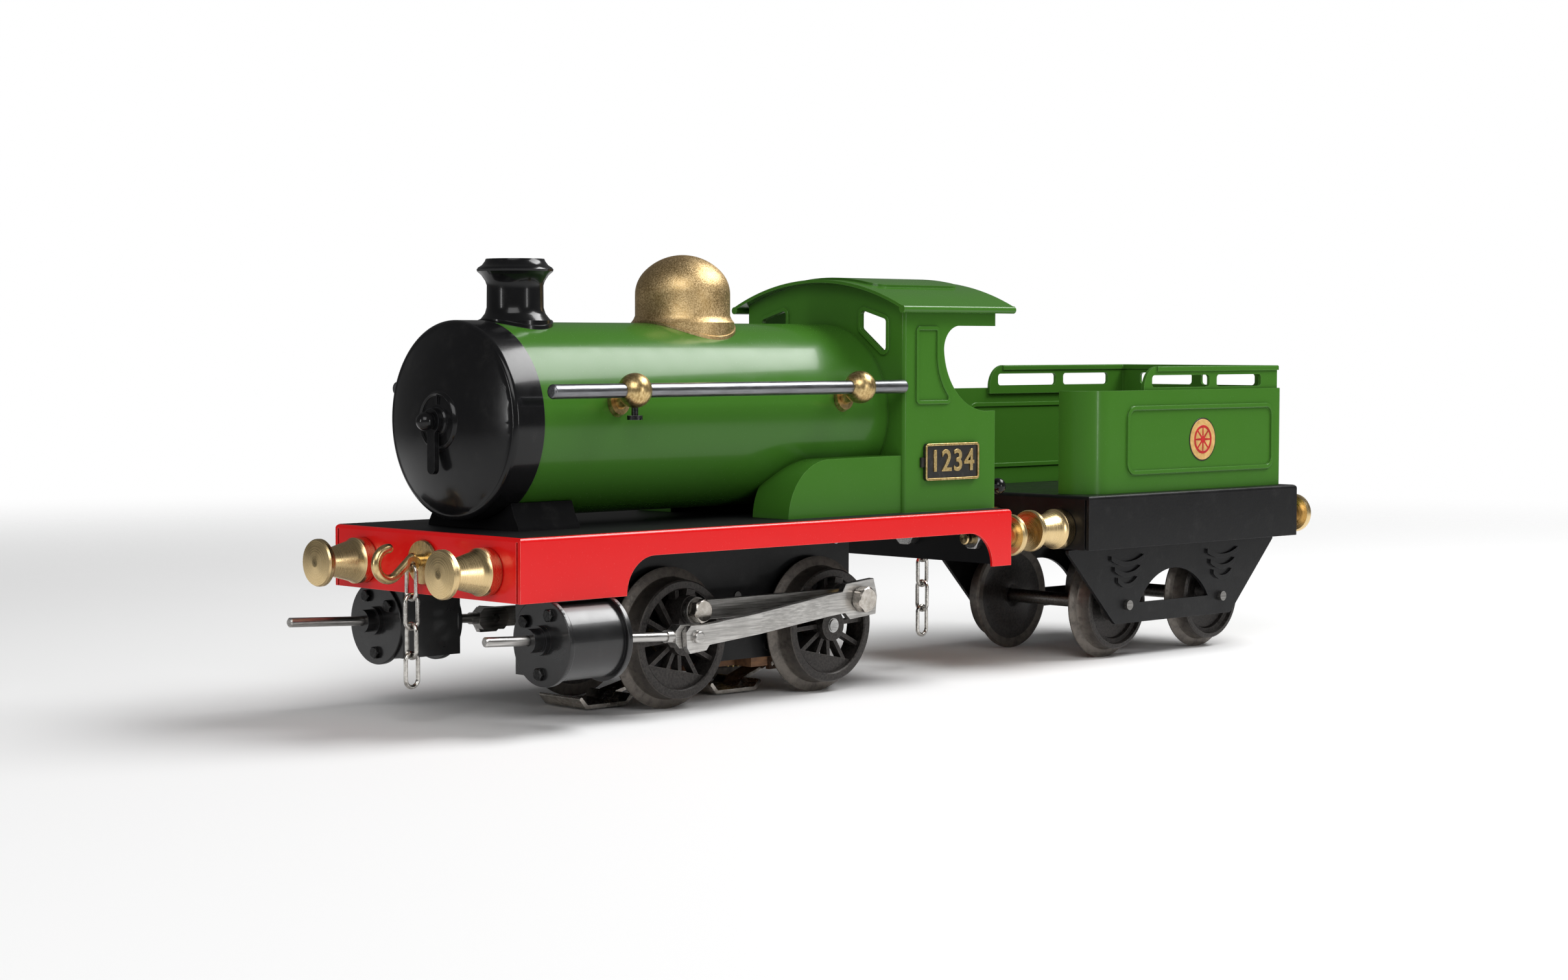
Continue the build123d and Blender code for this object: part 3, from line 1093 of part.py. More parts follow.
save("cylinders", cylinder(), other_side(cylinder()))
screws = [cover_screw(a) for a in SCREW_ANGLES]
save("cylinder_screws", *screws, *[other_side(s) for s in screws])
save("piston_rod_left", piston_rod(0))
save("piston_rod_right", other_side(piston_rod(PISTON_OFFSET_RIGHT)))
save("connecting_rod_left", connecting_rod(PIN_LEFT, SMALL_LEFT, 0))
save("connecting_rod_right", other_side(connecting_rod(PIN_RIGHT, SMALL_RIGHT, PISTON_OFFSET_RIGHT)))
save("coupling_rod_left", coupling_rod(CRANK_LEFT))
save("coupling_rod_right", other_side(coupling_rod(CRANK_RIGHT)))

save("front_wheels", *driving_wheels(LOCO_AXLES[0]))
save("rear_wheels", *driving_wheels(LOCO_AXLES[1]))
save("front_axle", axle(LOCO_AXLES[0], LOCO_AXLE_Z, AXLE_R, 1.3, 20.6, 20.9))
save("rear_axle", axle(LOCO_AXLES[1], LOCO_AXLE_Z, AXLE_R, 1.3, 20.6, 20.9))
save("front_crank_bolts", *crank_bolts(LOCO_AXLES[0], 2.2, COUPLING_ROD_X[1] + 0.08, 4.6))
save("rear_crank_bolts", *crank_bolts(LOCO_AXLES[1], 2.4, ROD_X_REAR[1] + 0.08, 5.2))
save("crank_bushes", *crank_bushes())

save("side_frames", side_frame(-1), side_frame(1))
save("frame_spacers", *[frame_spacer(y, z) for y, z in SPACERS])
save("axle_bushes", *[axle_bush(s, y) for s in (-1, 1) for y in LOCO_AXLES])
save("field_magnet", field_magnet())
save("field_coil", field_coil())
save("armature", armature())
save("idler_gear", idler_gear())
save("axle_gear", axle_gear())
save("collector_base", collector_base())
save("collector_shoe_front", collector_shoe((38.0, 49.0), SHOE_ROOTS[0], 0.3))
save("collector_shoe_rear", collector_shoe((76.0, 87.5), SHOE_ROOTS[1], 0.3))
save("reversing_lever", reversing_lever())

for number, link in enumerate(chain(-HOOK_EYE[0], FRONT_EYE_Z, LINK_COUNT), start=1):
    save(f"front_chain_link_{number}", link)
save("rear_chain", *chain(DECK_L + HOOK_EYE[0], FRONT_EYE_Z, LINK_COUNT))

save("tender_frame", tender_frame())
save("tender_tank", tender_tank())
save("coal_rails", coal_rails())
save("axle_guards", axle_guard(), other_side(axle_guard()))
save("tender_buffers", *buffer_pair(TENDER_Y[0], -1, TENDER_BUFFER_Z), *buffer_pair(TENDER_Y[1], 1, TENDER_BUFFER_Z))
save("tender_hooks", hook(TENDER_Y[0], -1, TENDER_BUFFER_Z), hook(TENDER_Y[1], 1, TENDER_BUFFER_Z))
for word, y in zip(("front", "rear"), TENDER_AXLES):
    save(f"tender_{word}_wheels", *tender_wheels(y))
    save(f"tender_{word}_axle", axle(y, TENDER_FLANGE_R, 1.7, 1.2, 19.8, 23.2))
save("coupling_link", coupling_link())
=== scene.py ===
import math

import bmesh
import bpy
from mathutils import Matrix, Vector


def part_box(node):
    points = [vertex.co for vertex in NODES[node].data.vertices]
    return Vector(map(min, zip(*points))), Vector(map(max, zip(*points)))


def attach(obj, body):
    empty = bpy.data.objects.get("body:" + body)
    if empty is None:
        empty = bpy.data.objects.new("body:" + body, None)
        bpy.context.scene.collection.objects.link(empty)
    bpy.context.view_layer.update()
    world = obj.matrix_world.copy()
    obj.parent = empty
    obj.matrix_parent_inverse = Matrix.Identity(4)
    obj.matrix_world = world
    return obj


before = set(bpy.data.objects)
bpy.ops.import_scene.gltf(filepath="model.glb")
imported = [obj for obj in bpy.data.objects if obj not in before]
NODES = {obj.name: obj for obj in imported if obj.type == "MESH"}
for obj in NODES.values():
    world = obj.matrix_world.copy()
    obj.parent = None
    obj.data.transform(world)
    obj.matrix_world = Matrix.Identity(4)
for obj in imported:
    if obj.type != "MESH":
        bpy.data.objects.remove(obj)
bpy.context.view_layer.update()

MM = 0.001
FRONT_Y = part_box("footplate")[0][1]      # the front beam's face
DECK = 39.5                              # height of the engine's deck, mm
AXLES = (53.2, 98.3)
AXLE_Z = 15.1
TENDER_AXLES = (200.2, 238.2)
TENDER_AXLE_Z = 13.4
WHEEL_TREAD = 12.7                       # radius of the running band
TENDER_TREAD = 11.2
BUFFER_X = 20.5
BUFFER_Z = DECK - 7.1
TENDER_BUFFER_RISE = 0.7                 # tender buffers sit this much higher
BETWEEN_Y = 165.0                        # a place between engine and tender
FOOTPLATE_W = 30.5                       # half width
FOOTPLATE_L = 146.8
SHEET = 0.62                             # thickness that counts as the pressing's outside
CAB_W = 25.1                             # half width of the cab
PLATE_Y = 131.6
PLATE_Z = DECK + 11.2
PLATE_FACE = 0.68                        # just above the plate's field, out from the cab side
TANK_W = 25.8                            # half width of the tender tank
ROUNDEL_Y = 225.2
ROUNDEL_Z = 53.6


def at(x, y, z):
    """Millimetres (y from the front beam, z from the rails) to metres in the row frame."""
    return Vector((x * MM, FRONT_Y + y * MM, z * MM))


# ---- building materials -------------------------------------------------------------


class Paint:
    """One material's node tree, with short names for the nodes it needs. Lengths are in mm."""

    def __init__(self, name):
        self.mat = bpy.data.materials.new(name)
        self.mat.use_nodes = True
        self.tree = self.mat.node_tree
        self.shader = self.tree.nodes["Principled BSDF"]
        coords = self.node("ShaderNodeTexCoord")
        shift = self.node("ShaderNodeVectorMath", operation="SUBTRACT")
        shift.inputs[1].default_value = (0, FRONT_Y, 0)
        self.join(coords.outputs["Object"], shift.inputs[0])
        scale = self.node("ShaderNodeVectorMath", operation="SCALE")
        scale.inputs["Scale"].default_value = 1000
        self.join(shift.outputs[0], scale.inputs[0])
        self.place = scale.outputs[0]
        parts = self.node("ShaderNodeSeparateXYZ")
        self.join(self.place, parts.inputs[0])
        self.x, self.y, self.z = parts.outputs
        self.heights = []

    def node(self, kind, **settings):
        made = self.tree.nodes.new(kind)
        for key, value in settings.items():
            setattr(made, key, value)
        return made

    def join(self, source, target):
        self.tree.links.new(source, target)

    def put(self, value, socket):
        """Link a socket, or set a plain value."""
        if isinstance(value, bpy.types.NodeSocket):
            self.join(value, socket)
        else:
            socket.default_value = value

    def length(self, a, b):
        """Length of the hypotenuse over a and b."""
        return self.math("SQRT", self.math("ADD", self.math("MULTIPLY", a, a), self.math("MULTIPLY", b, b)))

    def math(self, operation, a, b=0.0, c=0.0):
        made = self.node("ShaderNodeMath", operation=operation)
        for value, socket in zip((a, b, c), made.inputs):
            self.put(value, socket)
        return made.outputs[0]

    def noise(self, scale, detail=2.0, rough=0.5, place=None):
        """Noise of `scale` features per mm."""
        made = self.node("ShaderNodeTexNoise")
        self.join(place or self.place, made.inputs["Vector"])
        made.inputs["Scale"].default_value = scale
        made.inputs["Detail"].default_value = detail
        made.inputs["Roughness"].default_value = rough
        return made.outputs["Fac"]

    def stretched(self, sx, sy, sz):
        """Coordinates stretched so that noise runs in streaks."""
        made = self.node("ShaderNodeVectorMath", operation="MULTIPLY")
        self.join(self.place, made.inputs[0])
        made.inputs[1].default_value = (sx, sy, sz)
        return made.outputs[0]

    def vector(self, x, y, z):
        made = self.node("ShaderNodeCombineXYZ")
        for value, socket in zip((x, y, z), made.inputs):
            self.put(value, socket)
        return made.outputs[0]

    def ramp(self, value, low, high, a=0.0, b=1.0):
        made = self.node("ShaderNodeMapRange", interpolation_type="SMOOTHSTEP")
        self.put(value, made.inputs["Value"])
        for key, number in (("From Min", low), ("From Max", high), ("To Min", a), ("To Max", b)):
            made.inputs[key].default_value = number
        return made.outputs["Result"]

    def mix(self, factor, a, b):
        """Colour between a and b."""
        made = self.node("ShaderNodeMix", data_type="RGBA")
        self.put(factor, made.inputs["Factor"])
        for value, socket in ((a, made.inputs["A"]), (b, made.inputs["B"])):
            self.put(value if isinstance(value, bpy.types.NodeSocket) else (*value, 1.0), socket)
        return made.outputs["Result"]

    def edges(self, low=0.04, high=0.20):
        """Mask for lightening edges, a painted highlight: white along edges, where the surface turns within
        a fraction of a millimetre.
        """
        rounded = self.node("ShaderNodeBevel", samples=6)
        rounded.inputs["Radius"].default_value = 0.22 * MM
        geometry = self.node("ShaderNodeNewGeometry")
        turn = self.node("ShaderNodeVectorMath", operation="DOT_PRODUCT")
        self.join(rounded.outputs[0], turn.inputs[0])
        self.join(geometry.outputs["Normal"], turn.inputs[1])
        return self.ramp(self.math("SUBTRACT", 1.0, turn.outputs["Value"]), low, high)

    def shade_in_hollows(self, reach=2.0):
        """Mask for painted shade: white in corners and under overhangs, where ambient occlusion finds them.
        """
        made = self.node("ShaderNodeAmbientOcclusion", samples=6)
        made.inputs["Distance"].default_value = reach * MM
        return self.ramp(made.outputs["AO"], 0.35, 0.95, 1.0, 0.0)

    def raise_by(self, height, depth):
        """Add relief `depth` mm deep."""
        self.heights.append((height, depth))

    def done(self, colour, rough, metal=0.0, coat=0.0, coat_rough=0.05, specular=0.5):
        """Connect the shader and return the material; a coat of None is left as it is."""
        self.join(colour, self.shader.inputs["Base Color"])
        self.put(metal, self.shader.inputs["Metallic"])
        self.put(rough, self.shader.inputs["Roughness"])
        if coat is not None:
            self.shader.inputs["Coat Weight"].default_value = coat
        self.shader.inputs["Coat Roughness"].default_value = coat_rough
        self.shader.inputs["Specular IOR Level"].default_value = specular
        normal = None
        for height, depth in self.heights:
            bump = self.node("ShaderNodeBump")
            bump.inputs["Strength"].default_value = 1.0
            bump.inputs["Distance"].default_value = depth * MM
            self.join(height, bump.inputs["Height"])
            if normal is not None:
                self.join(normal, bump.inputs["Normal"])
            normal = bump.outputs[0]
        if normal is not None:
            self.join(normal, self.shader.inputs["Normal"])
        return self.mat


# ---- the materials ------------------------------------------------------------------

GREEN = (0.050, 0.165, 0.018)
GREEN_DARK = (0.043, 0.145, 0.015)
# edge colour: rub wear on the edges, lightened further as a painted highlight
GREEN_EDGE_HIGHLIGHT = (0.20, 0.40, 0.13)
RED = (0.72, 0.006, 0.007)
RED_DARK = (0.60, 0.005, 0.006)
# edge colour: rub wear on the edges, lightened further as a painted highlight
RED_EDGE_HIGHLIGHT = (0.92, 0.30, 0.26)
BLACK = (0.006, 0.006, 0.0065)
# edge colour: rub wear on the edges, lightened further as a painted highlight
BLACK_EDGE_HIGHLIGHT = (0.13, 0.13, 0.135)


def enamel_surface(paint, colour, dark, edge, wear_and_highlight):
    """Colour and roughness of stoved enamel: slight mottling, painted shade in corners, edges lightened
    partly as rub wear and partly as a painted highlight.
    """
    broad = paint.noise(0.05, 3, 0.55)
    tone = paint.mix(paint.ramp(broad, 0.3, 0.7, 0.85, 1.0), dark, colour)
    # painted shade: darker in corners and overhangs that ambient occlusion finds
    painted_shade = paint.math("MULTIPLY", paint.shade_in_hollows(1.6), 0.35)
    tone = paint.mix(painted_shade, tone, tuple(c * 0.35 for c in dark))
    # lighter edges, partly rub wear and partly a painted highlight along the edges
    rub_and_highlight = paint.math("MULTIPLY", paint.edges(), paint.ramp(paint.noise(0.35, 4, 0.65), 0.3, 0.6, 0.35, 1.0))
    tone = paint.mix(paint.math("MULTIPLY", rub_and_highlight, wear_and_highlight), tone, edge)
    smear = paint.noise(0.12, 5, 0.7)
    specks = paint.ramp(paint.noise(2.6, 2, 0.5), 0.66, 0.74)
    rough = paint.math("ADD", paint.ramp(smear, 0.35, 0.7, 0.20, 0.26), paint.math("MULTIPLY", specks, 0.10))
    paint.raise_by(paint.noise(0.9, 2, 0.5), 0.005)
    paint.raise_by(paint.noise(0.07, 1, 0.5), 0.03)
    paint.raise_by(specks, 0.004)
    return tone, rough


def green_enamel():
    """Green stoved enamel of the boiler, cab and tender."""
    paint = Paint("green_enamel")
    tone, rough = enamel_surface(paint, GREEN, GREEN_DARK, GREEN_EDGE_HIGHLIGHT, 0.6)
    return paint.done(tone, rough=rough, coat=0.10, specular=0.18)


def footplate_paint():
    """Red outside, black on the deck and inside the folds, as the pressing is lithographed."""
    paint = Paint("footplate_enamel")
    red, rough = enamel_surface(paint, RED, RED_DARK, RED_EDGE_HIGHLIGHT, 0.75)
    side = paint.math("GREATER_THAN", paint.math("ABSOLUTE", paint.x), FOOTPLATE_W - SHEET)
    front = paint.math("LESS_THAN", paint.y, SHEET)
    back = paint.math("GREATER_THAN", paint.y, FOOTPLATE_L - SHEET)
    outside = paint.math("MAXIMUM", side, paint.math("MAXIMUM", front, back))
    top = paint.math("GREATER_THAN", paint.z, DECK + 0.05)
    outside = paint.math("MULTIPLY", outside, paint.math("SUBTRACT", 1.0, top))
    scuffs = paint.ramp(paint.noise(0.3, 6, 0.7), 0.62, 0.75, 0.0, 0.5)
    black = paint.mix(scuffs, (0.005, 0.005, 0.006), (0.012, 0.012, 0.013))
    sheen = paint.mix(outside, (0.55, 0.55, 0.55), rough)
    paint.put(paint.math("MULTIPLY", outside, 0.2), paint.shader.inputs["Coat Weight"])
    return paint.done(paint.mix(outside, black, red), rough=sheen, coat=None, specular=0.25)


def black_paint(name, rough_low, rough_high, coat, relief, specular=0.2):
    """Black enamel from gloss to satin, with fine grain and edges lightened partly as rub wear and partly as
    a painted highlight.
    """
    paint = Paint(name)
    dust = paint.math("MULTIPLY", paint.ramp(paint.noise(0.2, 6, 0.7), 0.5, 0.8), 0.35)
    tone = paint.mix(dust, BLACK, (0.03, 0.029, 0.028))
    # lighter edges, partly rub wear and partly a painted highlight along the edges
    rub_and_highlight = paint.math("MULTIPLY", paint.edges(), paint.ramp(paint.noise(0.5, 4, 0.6), 0.3, 0.65, 0.3, 1.0))
    tone = paint.mix(paint.math("MULTIPLY", rub_and_highlight, 0.35), tone, BLACK_EDGE_HIGHLIGHT)
    rough = paint.ramp(paint.noise(0.15, 5, 0.7), 0.3, 0.7, rough_low, rough_high)
    paint.raise_by(paint.noise(1.6, 3, 0.6), relief)
    paint.raise_by(paint.noise(0.1, 1, 0.5), 0.02)
    return paint.done(tone, rough=rough, coat=coat, coat_rough=0.08, specular=specular)


def metal(name, colour, dark, rough_low, rough_high, grain, relief=0.006, edge=None):
    """Bare metal whose grain is noise stretched by `grain` along x, y and z."""
    paint = Paint(name)
    streak = paint.noise(1.0, 3, 0.6, paint.stretched(*grain))
    stain = paint.ramp(paint.noise(0.16, 5, 0.65), 0.35, 0.75)
    tone = paint.mix(paint.ramp(streak, 0.3, 0.7), dark, colour)
    tone = paint.mix(paint.math("MULTIPLY", stain, 0.45), tone, dark)
    # painted shade: darker in corners and overhangs that ambient occlusion finds
    painted_shade = paint.math("MULTIPLY", paint.shade_in_hollows(1.2), 0.55)
    tone = paint.mix(painted_shade, tone, tuple(c * 0.3 for c in dark))
    # the edge colour is a painted highlight along the edges
    if edge:
        tone = paint.mix(paint.math("MULTIPLY", paint.edges(), 0.7), tone, edge)
    rough = paint.ramp(paint.math("MULTIPLY_ADD", streak, 0.6, paint.math("MULTIPLY", stain, 0.4)),
                       0.25, 0.75, rough_low, rough_high)
    paint.raise_by(streak, relief)
    return paint.done(tone, metal=1.0, rough=rough)


def turned_metal(name, colour, dark):
    """Buffer metal turned in a lathe along Y: fine rings and a sheen that runs round each axis."""
    paint = Paint(name)
    dx = paint.math("SUBTRACT", paint.x, paint.math("MULTIPLY", paint.math("SIGN", paint.x), BUFFER_X))
    on_tender = paint.math("GREATER_THAN", paint.y, BETWEEN_Y)
    dz = paint.math("SUBTRACT", paint.z, paint.math("MULTIPLY_ADD", on_tender, TENDER_BUFFER_RISE, BUFFER_Z))
    radius = paint.length(dx, dz)
    rings = paint.noise(1.0, 3, 0.7, paint.vector(paint.math("MULTIPLY", radius, 5.0),
                                                  paint.math("MULTIPLY", paint.y, 5.0), 0.0))
    stain = paint.ramp(paint.noise(0.25, 5, 0.65), 0.45, 0.8, 0.0, 0.35)
    tone = paint.mix(paint.ramp(rings, 0.3, 0.7, 0.45, 1.0), dark, colour)
    tone = paint.mix(stain, tone, dark)
    # painted shade: darker in corners and overhangs that ambient occlusion finds
    painted_shade = paint.math("MULTIPLY", paint.shade_in_hollows(1.0), 0.5)
    tone = paint.mix(painted_shade, tone, tuple(c * 0.3 for c in dark))
    rough = paint.ramp(rings, 0.3, 0.7, 0.20, 0.34)
    turn = paint.node("ShaderNodeVectorTransform", vector_type="VECTOR",
                      convert_from="OBJECT", convert_to="WORLD")
    paint.join(paint.vector(dz, 0.0, paint.math("MULTIPLY", dx, -1.0)), turn.inputs[0])
    paint.join(turn.outputs[0], paint.shader.inputs["Tangent"])
    paint.shader.inputs["Anisotropic"].default_value = 0.75
    paint.raise_by(rings, 0.003)
    return paint.done(tone, metal=1.0, rough=rough)


def dome_paint():
    """Bronze-tinted brass with a speckled satin surface."""
    paint = Paint("dome_bronze")
    specks = paint.noise(3.2, 3, 0.7)
    blots = paint.noise(0.35, 4, 0.6)
    tone = paint.mix(paint.ramp(specks, 0.35, 0.65), (0.42, 0.28, 0.12), (0.78, 0.58, 0.31))
    tone = paint.mix(paint.ramp(blots, 0.4, 0.75, 0.0, 0.5), tone, (0.36, 0.23, 0.08))
    # painted shade: near-black brown in corners and overhangs that ambient occlusion finds
    tone = paint.mix(paint.math("MULTIPLY", paint.shade_in_hollows(1.5), 0.6), tone, (0.10, 0.06, 0.02))
    paint.raise_by(specks, 0.05)
    paint.raise_by(paint.noise(0.5, 3, 0.6), 0.05)
    return paint.done(tone, metal=1.0, rough=paint.ramp(specks, 0.3, 0.7, 0.36, 0.52))


def wheel_paint(name, axles, axle_z, tread):
    """Cast, darkened wheel with a grainy face and a polished running band."""
    paint = Paint(name)
    radius = None
    for axle_y in axles:
        dy = paint.math("SUBTRACT", paint.y, axle_y)
        dz = paint.math("SUBTRACT", paint.z, axle_z)
        here = paint.length(dy, dz)
        radius = here if radius is None else paint.math("MINIMUM", radius, here)
    grain = paint.noise(1.9, 4, 0.65)
    pits = paint.ramp(paint.noise(0.9, 3, 0.7), 0.58, 0.7)
    tone = paint.mix(paint.ramp(grain, 0.3, 0.7), (0.020, 0.018, 0.017), (0.062, 0.056, 0.052))
    tone = paint.mix(paint.math("MULTIPLY", pits, 0.5), tone, (0.012, 0.011, 0.010))
    x = paint.math("ABSOLUTE", paint.x)
    outer = paint.ramp(radius, tread - 0.35, tread - 0.1)
    running = paint.math("MULTIPLY", outer, paint.ramp(paint.noise(0.6, 4, 0.6), 0.25, 0.6, 0.35, 0.9))
    inboard = paint.ramp(x, 16.4, 19.0, 1.0, 0.45)
    running = paint.math("MULTIPLY", running, inboard)
    tone = paint.mix(running, tone, (0.17, 0.15, 0.13))
    # painted highlight: lighter along the edges
    tone = paint.mix(paint.math("MULTIPLY", paint.edges(), 0.5), tone, (0.20, 0.185, 0.17))
    rough = paint.ramp(grain, 0.3, 0.7, 0.34, 0.52)
    paint.raise_by(grain, 0.05)
    paint.raise_by(pits, -0.03)
    return paint.done(tone, metal=0.55, rough=rough)


def plate_paint():
    """Number plate: black field, gilt border where it stands proud."""
    paint = Paint("plate_black_gilt")
    proud = paint.math("GREATER_THAN", paint.math("ABSOLUTE", paint.x), CAB_W + PLATE_FACE)
    worn = paint.ramp(paint.noise(1.6, 4, 0.6), 0.3, 0.7)
    gilt = paint.mix(worn, (0.42, 0.28, 0.09), (0.80, 0.60, 0.28))
    dust = paint.ramp(paint.noise(0.8, 4, 0.6), 0.5, 0.8)
    field = paint.mix(dust, (0.012, 0.011, 0.010), (0.04, 0.035, 0.03))
    paint.raise_by(paint.noise(2.5, 2, 0.5), 0.01)
    rough = paint.ramp(worn, 0.0, 1.0, 0.42, 0.28)
    return paint.done(paint.mix(proud, field, gilt), metal=proud, rough=rough)


def coil_paint():
    """Enamelled copper wire wound in layers."""
    paint = Paint("copper_winding")
    turns = paint.math("SINE", paint.math("MULTIPLY", paint.y, 16.0))
    tone = paint.mix(paint.ramp(turns, -1.0, 1.0), (0.16, 0.035, 0.012), (0.50, 0.16, 0.06))
    tone = paint.mix(paint.ramp(paint.noise(0.3, 3, 0.6), 0.4, 0.8, 0.0, 0.4), tone, (0.10, 0.03, 0.01))
    paint.raise_by(turns, 0.06)
    return paint.done(tone, metal=0.6, rough=paint.ramp(turns, -1.0, 1.0, 0.5, 0.3))


def laminated(name):
    """Stack of iron stampings: fine lines across X."""
    paint = Paint(name)
    lines = paint.math("SINE", paint.math("MULTIPLY", paint.x, 9.0))
    rust = paint.ramp(paint.noise(0.4, 5, 0.7), 0.55, 0.8)
    tone = paint.mix(paint.ramp(lines, -1.0, 1.0), (0.07, 0.068, 0.065), (0.20, 0.195, 0.19))
    tone = paint.mix(paint.math("MULTIPLY", rust, 0.5), tone, (0.12, 0.06, 0.03))
    paint.raise_by(lines, 0.03)
    return paint.done(tone, metal=0.8, rough=paint.ramp(rust, 0.0, 1.0, 0.4, 0.65))


def board():
    """Pressed insulating board with fibres."""
    paint = Paint("pressed_board")
    fibre = paint.noise(1.2, 5, 0.7, paint.stretched(1.0, 0.25, 1.0))
    tone = paint.mix(paint.ramp(fibre, 0.3, 0.7), (0.10, 0.045, 0.02), (0.22, 0.11, 0.05))
    paint.raise_by(fibre, 0.03)
    return paint.done(tone, rough=paint.ramp(fibre, 0.3, 0.7, 0.55, 0.75))


BRASS = (0.80, 0.61, 0.33)
BRASS_DARK = (0.55, 0.39, 0.18)

green = green_enamel()
black_gloss = black_paint("black_gloss", 0.17, 0.24, 0.2, 0.004)
black_satin = black_paint("black_satin", 0.30, 0.42, 0.05, 0.02)
cylinder_black = black_paint("cylinder_black", 0.27, 0.34, 0.25, 0.010, specular=0.5)
black_dull = black_paint("black_dull", 0.62, 0.74, 0.0, 0.012, specular=0.04)
brass_ends = turned_metal("turned_brass", BRASS, BRASS_DARK)
# the edge= colours below are painted highlights along the parts' edges
brass_hook = metal("hook_brass", (0.80, 0.62, 0.32), BRASS_DARK, 0.22, 0.38, (2.5, 0.6, 0.6),
                   edge=(0.95, 0.80, 0.5))
brass_knob = metal("knob_brass", (0.72, 0.54, 0.26), (0.40, 0.27, 0.11), 0.30, 0.46, (1.2, 2.5, 1.2), 0.02)
brass_gear = metal("gear_brass", (0.70, 0.52, 0.22), (0.36, 0.24, 0.09), 0.3, 0.5, (3.0, 0.7, 0.7))
steel_rod = metal("rod_steel", (0.66, 0.645, 0.62), (0.36, 0.35, 0.335), 0.28, 0.42, (3.0, 0.12, 3.0), 0.012,
                  edge=(0.80, 0.79, 0.77))
dark_rod = metal("coupling_rod_steel", (0.36, 0.35, 0.335), (0.17, 0.165, 0.155), 0.32, 0.46,
                 (3.0, 0.12, 3.0), 0.012, edge=(0.45, 0.44, 0.42))
rail_steel = metal("handrail_steel", (0.27, 0.275, 0.29), (0.17, 0.173, 0.182), 0.28, 0.38,
                   (3.0, 0.15, 3.0))
bright_steel = metal("bright_steel", (0.56, 0.56, 0.55), (0.30, 0.295, 0.29), 0.2, 0.36,
                     (3.0, 0.3, 3.0), edge=(0.85, 0.85, 0.84))
chain_steel = metal("chain_steel", (0.74, 0.72, 0.68), (0.42, 0.40, 0.37), 0.2, 0.34, (1.5, 1.5, 1.5))
nickel = metal("nickel_plate", (0.66, 0.62, 0.57), (0.42, 0.385, 0.34), 0.18, 0.34, (1.0, 1.0, 1.0),
               edge=(0.9, 0.88, 0.84))
dark_screw = metal("black_screw", (0.06, 0.06, 0.06), (0.02, 0.02, 0.02), 0.32, 0.45, (2.0, 2.0, 2.0),
                   edge=(0.25, 0.25, 0.25))

MATERIALS = {
    "footplate": footplate_paint(),
    "dome": dome_paint(),
    "number_plates": plate_paint(),
    "field_coil": coil_paint(),
    "field_magnet": laminated("magnet_iron"),
    "armature": laminated("armature_iron"),
    "collector_base": board(),
    "handrails": rail_steel,
    "handrail_knobs": brass_knob,
    "knob_screws": dark_screw,
}
wheels = wheel_paint("cast_wheel", AXLES, AXLE_Z, WHEEL_TREAD)
tender_wheels = wheel_paint("tender_wheel", TENDER_AXLES, TENDER_AXLE_Z, TENDER_TREAD)
groups = (
    (green, ("boiler_barrel", "cab_body", "cab_roof", "splashers", "tender_tank", "coal_rails")),
    (black_gloss, ("smokebox_front", "door_handle", "chimney", "reversing_lever")),
    (black_dull, ("smokebox_saddle",)),
    (cylinder_black, ("cylinders",)),
    (black_satin, ("tender_frame", "axle_guards", "side_frames")),
    (brass_ends, ("loco_buffers", "tender_buffers")),
    (brass_hook, ("loco_hooks", "tender_hooks")),
    (brass_gear, ("axle_gear", "idler_gear", "axle_bushes", "crank_bushes")),
    (wheels, ("front_wheels", "rear_wheels")),
    (tender_wheels, ("tender_front_wheels", "tender_rear_wheels")),
    (steel_rod, ("connecting_rod_left", "connecting_rod_right", "piston_rod_left", "piston_rod_right")),
    (dark_rod, ("coupling_rod_left", "coupling_rod_right", "tender_front_axle", "tender_rear_axle")),
    (bright_steel, ("front_axle", "rear_axle", "frame_spacers", "beam_nuts", "coupling_link")),
    (chain_steel, (*(f"front_chain_link_{i}" for i in range(1, 5)), "rear_chain")),
    (nickel, ("front_crank_bolts", "rear_crank_bolts", "collector_shoe_front", "collector_shoe_rear")),
    (dark_screw, ("cylinder_screws",)),
)
for material, names in groups:
    for name in names:
        MATERIALS[name] = material

for name, obj in NODES.items():
    obj.data.materials.clear()
    obj.data.materials.append(MATERIALS[name])


# ---- crisp edges on the pressed and machined parts ----------------------------------


WELD_GAP = 0.002 * MM
SMOOTH_DEGREES = 30


def smooth_group():
    """Geometry nodes that join vertices and shade smooth except across sharp edges."""
    tree = bpy.data.node_groups.new(f"smooth_{SMOOTH_DEGREES}", "GeometryNodeTree")
    tree.interface.new_socket("Geometry", in_out="INPUT", socket_type="NodeSocketGeometry")
    tree.interface.new_socket("Geometry", in_out="OUTPUT", socket_type="NodeSocketGeometry")
    start = tree.nodes.new("NodeGroupInput")
    end = tree.nodes.new("NodeGroupOutput")
    merge = tree.nodes.new("GeometryNodeMergeByDistance")
    merge.inputs["Distance"].default_value = WELD_GAP
    faces = tree.nodes.new("GeometryNodeSetShadeSmooth")
    edges = tree.nodes.new("GeometryNodeSetShadeSmooth")
    edges.domain = "EDGE"
    edges.inputs["Shade Smooth"].default_value = False
    angle = tree.nodes.new("GeometryNodeInputMeshEdgeAngle")
    sharp = tree.nodes.new("FunctionNodeCompare")
    sharp.data_type = "FLOAT"
    sharp.operation = "GREATER_THAN"
    sharp.inputs[1].default_value = math.radians(SMOOTH_DEGREES)
    for source, target in ((start.outputs[0], merge.inputs[0]), (merge.outputs[0], faces.inputs[0]),
                           (faces.outputs[0], edges.inputs[0]), (angle.outputs[0], sharp.inputs[0]),
                           (sharp.outputs[0], edges.inputs["Selection"]), (edges.outputs[0], end.inputs[0])):
        tree.links.new(source, target)
    return tree


